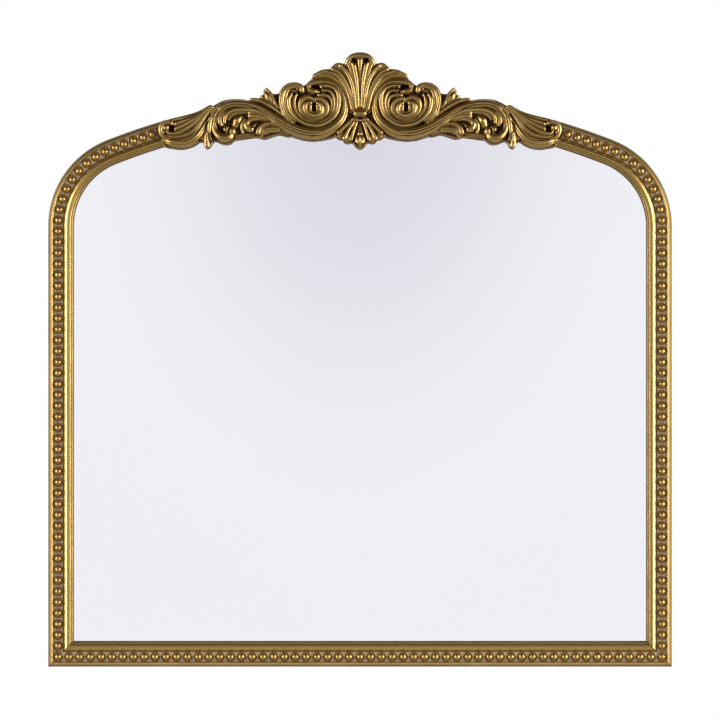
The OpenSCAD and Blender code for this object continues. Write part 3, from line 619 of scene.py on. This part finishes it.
def gouge(made, cuts):
    """Works grooves into the relief: each cut is (line, width, depth), and a depth below 0
    raises a ridge. A cut fades towards its ends."""
    co, normal = surface_of(made)
    flat = co[:, [0, 2]] / mm - (0, crown)
    push = np.zeros(len(co))
    for line, wide, deep in cuts:
        p = np.array([point[:2] for point in line], float)
        in_reach = (flat > p.min(0) - 2 * wide) & (flat < p.max(0) + 2 * wide)
        near = np.flatnonzero(np.all(in_reach, axis=1))
        best, share = np.full(len(near), np.inf), np.zeros(len(near))
        for i in range(len(p) - 1):
            along = p[i + 1] - p[i]
            t = np.clip(((flat[near] - p[i]) @ along) / (along @ along + 1e-12), 0, 1)
            away = np.sum((flat[near] - p[i] - t[:, None] * along) ** 2, axis=1)
            share = np.where(away < best, (i + t) / (len(p) - 1), share)
            best = np.minimum(best, away)
        ends = np.clip(np.minimum(share, 1 - share) * 6 + 0.25, 0, 1) if len(p) > 2 else 1
        push[near] += deep * np.exp(-best / (wide / 2) ** 2) * ends
    co -= normal * (push * mm)[:, None]
    made.data.vertices.foreach_set("co", co.ravel())
    made.data.update()


def cast(name, parts, cuts):
    """Runs the parts together into one skin, tools it, and cuts it off flat at the back."""
    made = parts[0]
    pick(*parts)
    bpy.ops.object.join()
    made.name = name
    one = made.modifiers.new("skin", "REMESH")
    one.mode = "VOXEL"
    one.voxel_size = 0.75 * mm
    bpy.ops.object.modifier_apply(modifier="skin")
    even = made.modifiers.new("even", "SMOOTH")
    even.factor = 0.5
    even.iterations = 4
    bpy.ops.object.modifier_apply(modifier="even")
    gouge(made, cuts)
    edit_all()
    bpy.ops.mesh.bisect(plane_co=(0, -landing_v * mm, 0), plane_no=(0, 1, 0), clear_outer=True)
    bpy.ops.mesh.select_mode(type="EDGE")
    bpy.ops.mesh.select_all(action="DESELECT")
    bpy.ops.mesh.select_non_manifold(use_wire=False, use_multi_face=False,
                                     use_non_contiguous=False, use_verts=False)
    bpy.ops.mesh.fill()
    bpy.ops.mesh.select_mode(type="VERT")
    face_out()
    bpy.ops.object.shade_smooth_by_angle(angle=math.radians(60))
    return made


def glaze_and_shade_hollows(made):
    """Notes where glaze stays and shade is painted: near the foot of the relief, and
    wherever a point lies below its surroundings, near ones and wide ones, which are the
    shape after some smoothing."""
    co, normal = surface_of(made)
    co = co / mm
    edges = np.empty(len(made.data.edges) * 2, int)
    made.data.edges.foreach_get("vertices", edges)
    a, b = edges.reshape(-1, 2).T
    number = np.bincount(a, minlength=len(co)) + np.bincount(b, minlength=len(co))
    # painted shade low down: 1 in the lowest 3.5 mm of the relief, fading to 0 at 8.5 mm
    foot = np.clip((landing_v + 8.5 + co[:, 1]) / 5, 0, 1)
    glaze_and_shade, even = 0.28 + 0.6 * foot, co.copy()
    # after so many rounds: the depth that counts as 1, and the least and most that it adds
    rounds = {8: (0.7, -0.45, 0.8), 60: (5.0, -0.35, 0.5)}
    for step in range(1, max(rounds) + 1):
        around = np.stack([np.bincount(a, even[b, k], len(co)) + np.bincount(b, even[a, k], len(co))
                           for k in range(3)], 1)
        even = 0.5 * even + 0.5 * around / np.maximum(number, 1)[:, None]
        if step in rounds:
            unit, least, most = rounds[step]
            glaze_and_shade += np.clip(np.sum((even - co) * normal, 1) / unit, least, most)
    kept = made.data.attributes.new("glaze", "FLOAT", "POINT")
    kept.data.foreach_set("value", np.clip(glaze_and_shade, 0, 1).astype(np.float32))


def finish_casting(made, cad):
    """Gilds a casting and screws it to the frame."""
    made.data.materials.append(gilt_resin)
    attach(made, "mirror")
    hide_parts(cad)


# brass leaf on resin: warm on the high places, nearly black in the hollows, where the
# glaze's colour is painted shade as well as glaze
gilt_resin = gilding("antique_brass_leaf_on_resin", "#A07F40", "#CCAE70", "#382710", 0.36, 1.4)

# the outline of the right scroll's plate; here and below, x and z above the crown
scroll_outline = [[68, 21], [55, 21], [40, 17], [28, 8], [18, -5], [15, -20], [17, -36], [24, -50],
    [36, -65], [50, -69.5], [65, -71.5], [80, -71], [95, -67], [112, -62], [125, -64.5],
    [140, -69], [153, -66.5], [170, -68], [183, -70.5], [190, -76], [200, -77], [210, -73],
    [215, -73.5], [219, -80], [224, -83.5], [228, -80], [230, -74], [236, -74], [248, -81],
    [262, -84], [276, -82.5], [287, -79.5], [290, -68], [295.5, -60], [296, -52], [290, -44],
    [279, -42], [262, -38.5], [245, -35.5], [228, -30], [214, -20.5], [200, -13], [184, -10.5],
    [170, -12], [160, -13.5], [150, -10], [143, -7], [138, 4], [134, 3], [128, -3], [118, -2],
    [110, 8], [100, 13.5], [89, 11.5], [83, 8.5], [76, 14]]
# the C, the trunk and the S, one run; then its arm, and the roll out to the end volute
big_c = [[61, -0.5, 4], [66, 0, 5.6], [71.5, 1, 6], [75.2, 5.4, 5.6], [71.5, 11, 5.6], [63, 14, 6],
    [51, 14.3, 6], [39, 11, 6.2], [30, 3.5, 6.4], [23.8, -7.5, 6.4], [21.8, -20, 6.6],
    [24, -34, 7.4], [32, -46.5, 8.4], [45, -56, 9.2], [59, -61.2, 9.8], [73, -62, 9.8],
    [88, -59, 9.8], [103, -53, 9.8], [117, -45, 9.2], [128, -37.5, 8], [138, -30.3, 7.1],
    [148, -24.6, 6.8], [160, -20.4, 7.1], [173, -18.2, 7.4], [186, -18.2, 7.6], [197, -22, 7.3],
    [206, -30, 6.5], [212, -40, 5.6], [213.5, -50, 5.6], [211, -59, 6.2], [203.5, -66.5, 7.6],
    [194, -67.5, 7.8], [188.5, -61, 6.6]]
arm = [[84.5, 0.6, 4.6], [85.4, 4.6, 4.8], [90, 8, 4.8], [97, 8.8, 5], [105, 6.6, 5.2],
    [111.5, 0, 5.4], [114.5, -11, 5.4], [113, -24, 5], [108, -36, 4.4], [100, -46, 3.6]]
last_roll = [[286, -71, 4.6], [276, -73.5, 8], [262, -74.5, 9.2], [248, -71.5, 9.2],
    [238.5, -64, 8.4], [231, -54, 6.6], [224.5, -44, 5.4], [217, -34, 4.8], [208, -25, 4.4]]
scroll_rolls = [
    (big_c, 17.5), (arm, 15.5), (last_roll, 15.5),
    # nested rings in the bowl of the C, stepping down to the rosette
    ([[58, 6.4, 2.3], [48, 8, 2.7], [39, 5, 3], [33, -1.5, 3.1], [30.6, -11, 3.2], [31, -22, 3.2],
      [34, -32, 3.1], [40, -40, 3.1], [49, -46.6, 3.1], [59, -50, 3.1], [69, -50, 3.1],
      [80, -47.6, 3.1], [89, -42.5, 3.1], [96, -35.6, 3.1], [101.5, -27.5, 3.1], [104, -18.4, 3.1],
      [103.5, -10.4, 2.9], [100, -4.5, 2]], 14.5),
    ([[55, 1.3, 1.8], [46, 0.8, 2.1], [40, -3.8, 2.2], [36.6, -11.5, 2.2], [36.2, -20.5, 2.2],
      [38.6, -30.2, 2.2], [44.4, -38, 2.2], [53, -43.6, 2.2], [63, -46.4, 1.8], [72, -47, 1]], 12),
    ([[60, -5.4, 2.6], [50.6, -5.6, 3], [43.6, -9.4, 3], [40.6, -15.6, 2.8], [40.6, -23.4, 2.6],
      [43, -31.4, 2.4], [49.5, -38, 2.2], [57, -42.6, 2.5], [66, -44.8, 2.7], [76, -43.8, 2.9],
      [84, -40, 3], [90.5, -33.1, 3.4], [95, -25.6, 3.6], [96.6, -17.5, 3.6], [95.5, -9.6, 3.1],
      [93, -4.6, 2.1]], 11.5),
    ([[91, 1.9, 1.8], [92.5, 5.4, 2.2], [97, 6.4, 2.5], [102, 4.5, 2.6], [106.2, -1, 2.6],
      [109, -9.3, 2.7], [109.5, -19.3, 2.7], [107, -29.4, 2.6], [101.5, -37.5, 2.5],
      [95, -43.6, 2.1]], 13.5),
    ([[92.4, -1, 2.6], [97.6, 1.2, 3.2], [102.6, -2, 2.8]], 8.5),
    # the rosette: three rings round a dark heart
    ([[70, -11.4, 3.4], [77, -8.8, 4.6], [84, -12.2, 5], [87, -20, 4.8], [85.4, -28.7, 4.4],
      [80.5, -35, 4.2], [73, -39, 4], [63, -39.8, 4], [55, -37, 4], [49.4, -31.3, 4.2],
      [47.8, -24, 4.4], [50.6, -16.6, 4.6], [56.6, -11.6, 4.6], [63, -11.2, 4],
      [66.6, -14.4, 3]], 12.5),
    ([[72, -17.4, 3.1], [77.5, -17.8, 3.7], [80.3, -22.8, 3.8], [78.8, -29, 3.8], [74, -33.6, 3.6],
      [66.5, -35.6, 3.6], [59.6, -33.8, 3.6], [56, -29, 3.6], [56, -23.2, 3.6], [58.8, -18.8, 3.3],
      [62, -17.6, 2.9]], 14.5),
    ([[73, -21.9, 3.6], [73.2, -26.9, 3.8], [70.6, -30.4, 3.6], [66.7, -31.4, 3.6],
      [62.8, -30, 3.6], [61.2, -26.6, 3.6], [62.2, -21.6, 3.4]], 12),
    # folds along the trunk and round the S
    ([[121, -42.5, 3.1], [133, -35.6, 3.2], [143, -31, 3.2], [153, -28.3, 3.1], [165, -26.8, 3.1],
      [177, -26.8, 3.1], [187, -28.8, 3.1], [193.8, -33.6, 3.1], [197.4, -40, 2.9],
      [197.8, -46, 2.2]], 13),
    ([[193, -28, 2.3], [199.5, -32.5, 2.9], [203.6, -38.5, 3.4], [204.6, -44.5, 3.6],
      [202.6, -49.4, 2.9]], 11.5),
    ([[199, -17.6, 2.6], [210, -25.4, 3.1], [217, -36.7, 3.4], [219.8, -48.7, 3.4],
      [220.4, -59.6, 2.9]], 11.5),
    ([[105, -57, 9.1], [117, -55, 8.3], [128, -55.5, 7.3]], 9),
    # the leaf of two lobes under the trunk
    ([[131, -39.4, 2.5], [141, -35.2, 2.6], [151, -32.4, 2.7], [161, -31.6, 3]], 11),
    ([[129, -41.6, 2.9], [141, -38.6, 3.1], [151, -36.2, 3.2], [160.5, -35.8, 3.6]], 11.5),
    ([[133, -42, 2.9], [145, -40.6, 3.1], [155, -40.8, 3.6], [162.4, -43.4, 4.4], [166, -48.6, 5],
      [163.6, -54, 5.6], [158.5, -55.5, 5]], 13.5),
    ([[152, -47, 3.9], [157, -52, 6], [160, -56.5, 5.2]], 8.5),
    ([[119, -48.4, 3.9], [130, -46.6, 3.5], [139, -48.4, 3.5], [146, -53.2, 3.8],
      [148.8, -59.6, 3.9]], 12.5),
    ([[121, -54.4, 7], [133, -54.6, 7.5], [141, -58.6, 7.3], [144, -64, 4.7]], 12),
    # what lies in the curl of the S: a round leaf, thin stems, the rim, and the ball
    ([[173.6, -37, 5], [179, -42, 8.2], [181.4, -48.6, 7]], 11.5),
    ([[162, -30.4, 2.2], [172, -30.6, 2.6], [181, -32, 2.8], [188, -35.6, 2.8],
      [191.6, -41, 2.3]], 10),
    ([[168.6, -41, 2.4], [171.6, -47, 2.8], [172.5, -53.4, 2.8], [171.4, -59.4, 2.6]], 9.5),
    ([[155, -62.1, 4.6], [168, -63.4, 5.1], [181, -65, 5.1]], 6.5),
    ([[187, -58.6, 7.4], [187.6, -58, 7.4]], 13), ([[195.4, -55.6, 6.6], [196, -56, 6.6]], 13.5),
    # the small leaves above the trunk
    ([[137, 3.6, 1.8], [131, -2.5, 2.2], [127, -9.5, 2.4], [124, -17.1, 2.4],
      [120, -24.2, 2]], 11),
    ([[138, 1, 3.4], [135.4, -6, 6.2], [131, -13, 6], [125.4, -20.1, 3.6]], 12.5),
    ([[143.5, -7.6, 2.2], [138.5, -12.6, 3], [131, -17.4, 3], [122.6, -24.2, 2.4]], 10.5),
    ([[159, -12, 2.3], [152, -12.6, 2.9], [144, -14.6, 3.1], [136, -18.6, 3.1], [125, -25.6, 2.9],
      [114, -33.8, 2.6], [105, -40.9, 2.1]], 12.5),
    # flutes that run down to the end volute
    ([[216, -23.7, 3], [223, -31.6, 3.2], [231, -42.5, 3.8], [239, -53.3, 4.2], [249, -61.2, 4.5],
      [261, -65.6, 4.2], [273, -67, 3.4], [283, -64.4, 2.6]], 13.5),
    ([[219, -22.7, 2.8], [229, -32.5, 3.1], [240, -44.3, 3.6], [252, -53.6, 3.9], [265, -60, 3.6],
      [275, -61.6, 2.8], [281, -59.6, 2]], 13.5),
    ([[222, -24.1, 2.6], [234, -34.4, 3], [246, -43.2, 3.5], [259, -50.4, 3.6],
      [269.4, -55, 2.8]], 13),
    ([[229, -29, 2.5], [243, -37.6, 2.8], [257, -43.4, 3], [269.4, -47.6, 2.6]], 11.5),
    ([[225, -25.8, 2.8], [238, -32.6, 3], [253, -37.2, 3], [269, -41, 3], [279, -43.6, 3]], 9),
    # the end volute and its eye
    ([[276, -70.4, 2.8], [284.6, -67.4, 3], [291, -60.6, 3.3], [291, -52, 3.4], [286, -46, 3.2],
      [278.4, -45, 3], [272.6, -49.5, 2.6]], 12.5),
    ([[283.9, -53.4, 6.2], [283.3, -53, 6.2]], 13),
    ([[284, -50.4, 1.7], [288, -54, 1.7], [287, -60, 1.6]], 10),
    # the bud between volute and leaf
    ([[224, -46, 1.8], [225, -58, 3.2], [224.6, -70, 4.8], [223.5, -78.6, 3.8]], 11),
    ([[219.6, -52, 1.5], [220, -62, 1.9], [218, -69.5, 2.2]], 9),
    ([[229, -60, 1.6], [230.5, -69, 2]], 8.5),
    ([[223.6, -71, 2.6], [224, -60, 1.4]], 12.5)]
scroll_cuts = [
    (beside(big_c[5:16], -0.45), 2.4, 1.4), (beside(big_c[14:22], -0.4), 2.4, 1.5),
    (beside(big_c[14:22], 0.1), 2.4, 1.4), (beside(big_c[15:22], 0.55), 2.2, 1.3),
    (beside(big_c[21:30], -0.25), 2.4, 1.4), (beside(arm[2:], 0.1), 2.4, 1.4),
    (beside(last_roll, 0.45), 2.2, 1.2), (beside(last_roll[2:], -0.2), 2, 0.9),
    ([[272.6, -49], [274.4, -55]], 4.4, 3), ([[131, -50.6], [138, -53.4], [142, -59]], 2, 0.8),
    ([[71, 7], [65, 6.6], [59, 6.2], [53, 4.4]], 2.8, 4),
    ([[200.6, -52], [201.6, -57], [198, -61.5]], 2.6, 4),
    ([[191.4, -54], [191.6, -62]], 2.2, 2.5), ([[67, -19], [67, -27]], 3.4, 3)]
scroll_parts = [plate(scroll_outline)] + [roll(points, top) for points, top in scroll_rolls]
right_scroll = cast("gilt_scroll_right", scroll_parts, scroll_cuts)
glaze_and_shade_hollows(right_scroll)
left_scroll = mirrored_copy(right_scroll, "gilt_scroll_left")
finish_casting(right_scroll, "crest_scroll_right")
finish_casting(left_scroll, "crest_scroll_left")


def both(points, top):
    """A roll of the palmette's right half, and its like on the left."""
    return [(points, top), ([[-x, z, r] for x, z, r in points], top)]


palmette_half = [[0, 57.5], [9, 56], [17, 50], [21, 42], [27, 39.5], [34, 39], [40, 33.5],
    [50, 30], [62, 27], [68, 22], [70, 17], [45, 14], [25, -2], [19, -20], [21, -40], [30, -52],
    [37, -64], [30, -68.5], [25, -69], [18, -74.5], [11, -75], [7, -80], [0, -84]]
# the ribs of the right half, each with its height, made on both sides
ribs = [
    ([[9.5, 40, 3.8], [6.6, 26, 3.2], [4.1, 8, 2.4], [2.6, -22, 1.7]], 14.5),
    ([[17, 41, 4.2], [12.2, 28, 3.6], [8, 12, 2.8], [5.2, -6, 2.4], [4, -24, 2]], 13.5),
    ([[28, 37, 3.4], [20, 28.5, 3.3], [13.6, 15, 2.8], [9.2, -2, 2.5], [6.6, -24, 2.2]], 13.5),
    ([[34, 36, 4.5], [25.4, 29, 4.1], [18, 17, 3.3], [12.4, 2, 2.8], [8.8, -14, 2.4],
      [7.6, -26, 2.1]], 11.5),
    ([[39, 32, 3.3], [31, 27, 3.2], [22.6, 16, 3], [16.2, 2, 2.7], [11.6, -13, 2.4],
      [9.4, -28, 2.1]], 13),
    ([[49, 27.6, 2.4], [40, 26.4, 3.4], [30, 19.4, 3.4], [21.4, 7, 3.2], [15.4, -8, 2.8],
      [11.6, -26, 2.4]], 13.5),
    ([[64, 22.6, 4.5], [52, 23.6, 4.8], [41, 20.6, 4.2], [31, 12.5, 3.8], [22.4, 0, 3.4],
      [16.4, -14, 3], [13.4, -30, 2.5]], 12),
    ([[10, -43, 4.2], [19, -54, 6], [28, -63, 7.5]], 8.5),
    ([[7.5, -46, 4.2], [13, -57, 6], [18, -68, 8.1]], 9),
    ([[11.6, -41.6, 2.4], [21, -50.6, 2.8], [31, -60, 3.3]], 12),
    ([[8.4, -44, 2.2], [16.6, -56, 2.7], [22.4, -68, 3.3]], 12),
    ([[5, -46, 2.1], [9.4, -58, 2.5], [12.6, -69.5, 3]], 11)]
palmette_rolls = [
    ([[0, 46, 9], [0, 32, 6.5], [0, 14, 4], [0, -26, 2.6]], 11),
    ([[0, 44.5, 5.6], [0, 38, 4.8], [0, 26, 3.4], [0, 5, 2.2], [0, -27, 1.8]], 15),
    *both([[27, 33, 7], [19, 18, 5.5], [12, -4, 4], [7, -26, 3]], 7),
    ([[-20, 39, 3], [-16.8, 45.5, 4.4], [-9.5, 50.6, 5.2], [0, 52, 5.4], [9.5, 50.6, 5.2],
      [16.8, 45.5, 4.4], [20, 39, 3]], 16),
    *both([[25.6, 38.4, 2.6], [33, 38.2, 3.4], [39.4, 33.6, 3]], 12),
    *both([[43, 30, 2.6], [55, 28, 3.4], [66.6, 22.4, 3]], 12.5),
    # the knot that ties the ribs, and the drop below it
    ([[-5, -32.6, 6.4], [5, -32.6, 6.4]], 16),
    ([[-10.4, -40.6, 1.8], [0, -42.6, 2], [10.4, -40.6, 1.8]], 12),
    ([[0, -46, 3.4], [0, -58, 5.6], [0, -71, 8.8], [0, -79, 4.2]], 14)]
for points, top in ribs:
    palmette_rolls += both(points, top)
palmette_parts = [plate(palmette_half + [[-x, z] for x, z in palmette_half[-2:0:-1]])]
palmette_parts += [roll(points, top) for points, top in palmette_rolls]
# the hollows under the top knob, and a vein at each side of the drop
palmette_cuts = [
    ([[-10, 46], [-8, 41]], 3.6, 3.5), ([[10, 46], [8, 41]], 3.6, 3.5),
    ([[-3.2, -64], [-3.8, -72]], 2.8, 3.5), ([[3.2, -64], [3.8, -72]], 2.8, 3.5)]
palmette = cast("gilt_palmette", palmette_parts, palmette_cuts)
glaze_and_shade_hollows(palmette)
finish_casting(palmette, "crest_palmette")


# Mirror glass and what lies behind it
# 4 mm float glass, silvered on the back, laid in the rabbet with a sheet of white card
# and a hardboard back, and centred by small cork blocks at its edges.
def dress(material, name):
    """Puts a material on a CAD piece whose shape is right as it is."""
    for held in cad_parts[name].material_slots:
        held.material = material


# silver behind clear glass: it mirrors the room, with a faint smear half a metre wide
silver = mottled("silvered_float_glass", "#F7F7F9", "#FAFAFB", 2.2, 2.0, (0.0, 0.02), metallic=1.0)
dress(silver, "mirror_glass")

# card: white pulp, matt, with fibres about 1 mm long
dress(mottled("white_card", "#E6E4DC", "#F2F0EA", 900.0, 2.0, 0.85), "buffer_sheet")

# hardboard: pressed brown wood fibre, smooth side out, flecked with darker fibres of 2 to 4 mm
board, tree, place = new_material("tempered_hardboard")
flecks = node(tree, "ShaderNodeTexNoise", {
    "Vector": place, "Scale": 420.0, "Detail": 4.0, "Distortion": 1.2}).outputs["Fac"]
blotch = node(tree, "ShaderNodeTexNoise", {
    "Vector": place, "Scale": 14.0, "Detail": 3.0}).outputs["Fac"]
mixed = node(tree, "ShaderNodeMath", {0: blotch, 1: 0.4, 2: flecks},
             operation="MULTIPLY_ADD").outputs[0]
tone = node(tree, "ShaderNodeValToRGB", {"Fac": mixed})
dark, light = tone.color_ramp.elements
dark.position, dark.color = 0.45, linear("#4C3420")
light.position, light.color = 0.95, linear("#8A6340")
bump = node(tree, "ShaderNodeBump", {
    "Strength": 0.15, "Distance": 0.1 * mm, "Height": flecks}).outputs[0]
surface = node(tree, "ShaderNodeBsdfPrincipled", {
    "Base Color": tone.outputs[0], "Roughness": 0.55, "Normal": bump})
node(tree, "ShaderNodeOutputMaterial", {"Surface": surface.outputs[0]})
dress(board, "backing_board")

# cork: pressed granules of about 2 mm, each its own brown
cork, tree, place = new_material("pressed_cork")
grains = node(tree, "ShaderNodeTexVoronoi", {"Vector": place, "Scale": 500.0}).outputs
tone = node(tree, "ShaderNodeMix", {
    "Factor": grains["Distance"], "A": linear("#C89A62"), "B": linear("#8F6236")},
    data_type="RGBA").outputs["Result"]
surface = node(tree, "ShaderNodeBsdfPrincipled", {"Base Color": tone, "Roughness": 0.9})
node(tree, "ShaderNodeOutputMaterial", {"Surface": surface.outputs[0]})
dress(cork, "cork_edge_blocks")


# Hardware
# Zinc-plated pressed steel with rolled edges: turn buttons, D-rings in folded straps and flat
# braces, held by cross-recessed pan-head screws. The crest's screws are sunk in the wood.

# zinc plate: bright and bluish, clouded in spangles of about 4 mm, some duller than others
zinc = mottled("bright_zinc_plate", "#A3A6AA", "#CDCECD", 260.0, 4.0, (0.22, 0.45), metallic=1.0)
dress(zinc, "crest_screws")


def softened(cad, name, edge):
    """A copy of a CAD piece with its loose triangles merged and its edges rounded by edge mm."""
    made = bpy.data.objects.new(name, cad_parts[cad].data.copy())
    scene.collection.objects.link(made)
    made.data.materials.clear()
    pick(made)
    edit_all()
    bpy.ops.mesh.remove_doubles(threshold=0.01 * mm)
    bpy.ops.mesh.dissolve_limited(angle_limit=math.radians(1))
    bpy.ops.object.mode_set(mode="OBJECT")
    if edge:
        rounding = made.modifiers.new("edge", "BEVEL")
        rounding.width = edge * mm
        rounding.segments = 3
        rounding.limit_method = "ANGLE"
        rounding.angle_limit = math.radians(40)
        bpy.ops.object.modifier_apply(modifier="edge")
    return made


# the cross: how wide and deep its arms are, and their length as a share of the screw's head
arm_w, arm_deep, arm_share = 0.9, 1.2, 0.56


def recessed(made):
    """Sinks a cross in the head of each screw in a mesh of loose screws, each turned its own
    way."""
    edit_all()
    bpy.ops.mesh.separate(type="LOOSE")
    bpy.ops.object.mode_set(mode="OBJECT")
    screws = sorted(bpy.context.selected_objects, key=lambda one: one.name)
    for index, one in enumerate(screws):
        points = np.array([vertex.co for vertex in one.data.vertices])
        low, high = points.min(0), points.max(0)
        for turn in (0, 90):
            bpy.ops.object.select_all(action="DESELECT")
            bpy.ops.mesh.primitive_cube_add(
                size=1, location=((low[0] + high[0]) / 2, high[1], (low[2] + high[2]) / 2),
                rotation=(0, math.radians(37 * index + turn), 0),
                scale=(arm_w * mm, 2 * arm_deep * mm, arm_share * (high[0] - low[0])))
            bar = bpy.context.object
            cross = one.modifiers.new("cross", "BOOLEAN")
            cross.object = bar
            bpy.context.view_layer.objects.active = one
            bpy.ops.object.modifier_apply(modifier="cross")
            bpy.data.objects.remove(bar)
    pick(made, *screws)
    bpy.ops.object.join()
    return made


def fit(made, cad, body, material):
    """Smooths, coats and fixes a piece of hardware."""
    pick(made)
    bpy.ops.object.shade_smooth_by_angle(angle=math.radians(35))
    made.data.materials.append(material)
    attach(made, body)
    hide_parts(cad)


for spot in ("bottom", "low", "high", "head"):
    for side in ("left", "right"):
        button = "turn_button_" + spot + "_" + side
        fit(softened(button, "zinc_" + button, 0.4), button, button, zinc)
for side in ("left", "right"):
    strap, ring = "hanger_strap_" + side, "hanger_ring_" + side
    fit(softened(strap, "zinc_" + strap, 0.25), strap, "mirror", zinc)
    fit(softened(ring, "zinc_" + ring, 0), ring, ring, zinc)
fit(softened("corner_braces", "zinc_corner_braces", 0.4), "corner_braces", "mirror", zinc)
for screws in ("turn_button_screws", "hanger_screws", "brace_screws"):
    fit(recessed(softened(screws, "zinc_" + screws, 0.45)), screws, "mirror", zinc)


# Wall pads and dowels
# Four moulded rubber bumpers keep the frame off the wall; beech dowels pin the arch's joints.

# rubber: near black and matt, with a faint grey bloom
rubber = mottled("moulded_rubber", "#2A2928", "#3B3A38", 350.0, 3.0, 0.75, dents=0.2)
fit(softened("wall_pads", "rubber_wall_pads", 0.6), "wall_pads", "mirror", rubber)

# beech: pale, with short rays under 2 mm
dress(mottled("turned_beech", "#C9A377", "#DDBC92", 600.0, 3.0, 0.6), "joint_dowels")
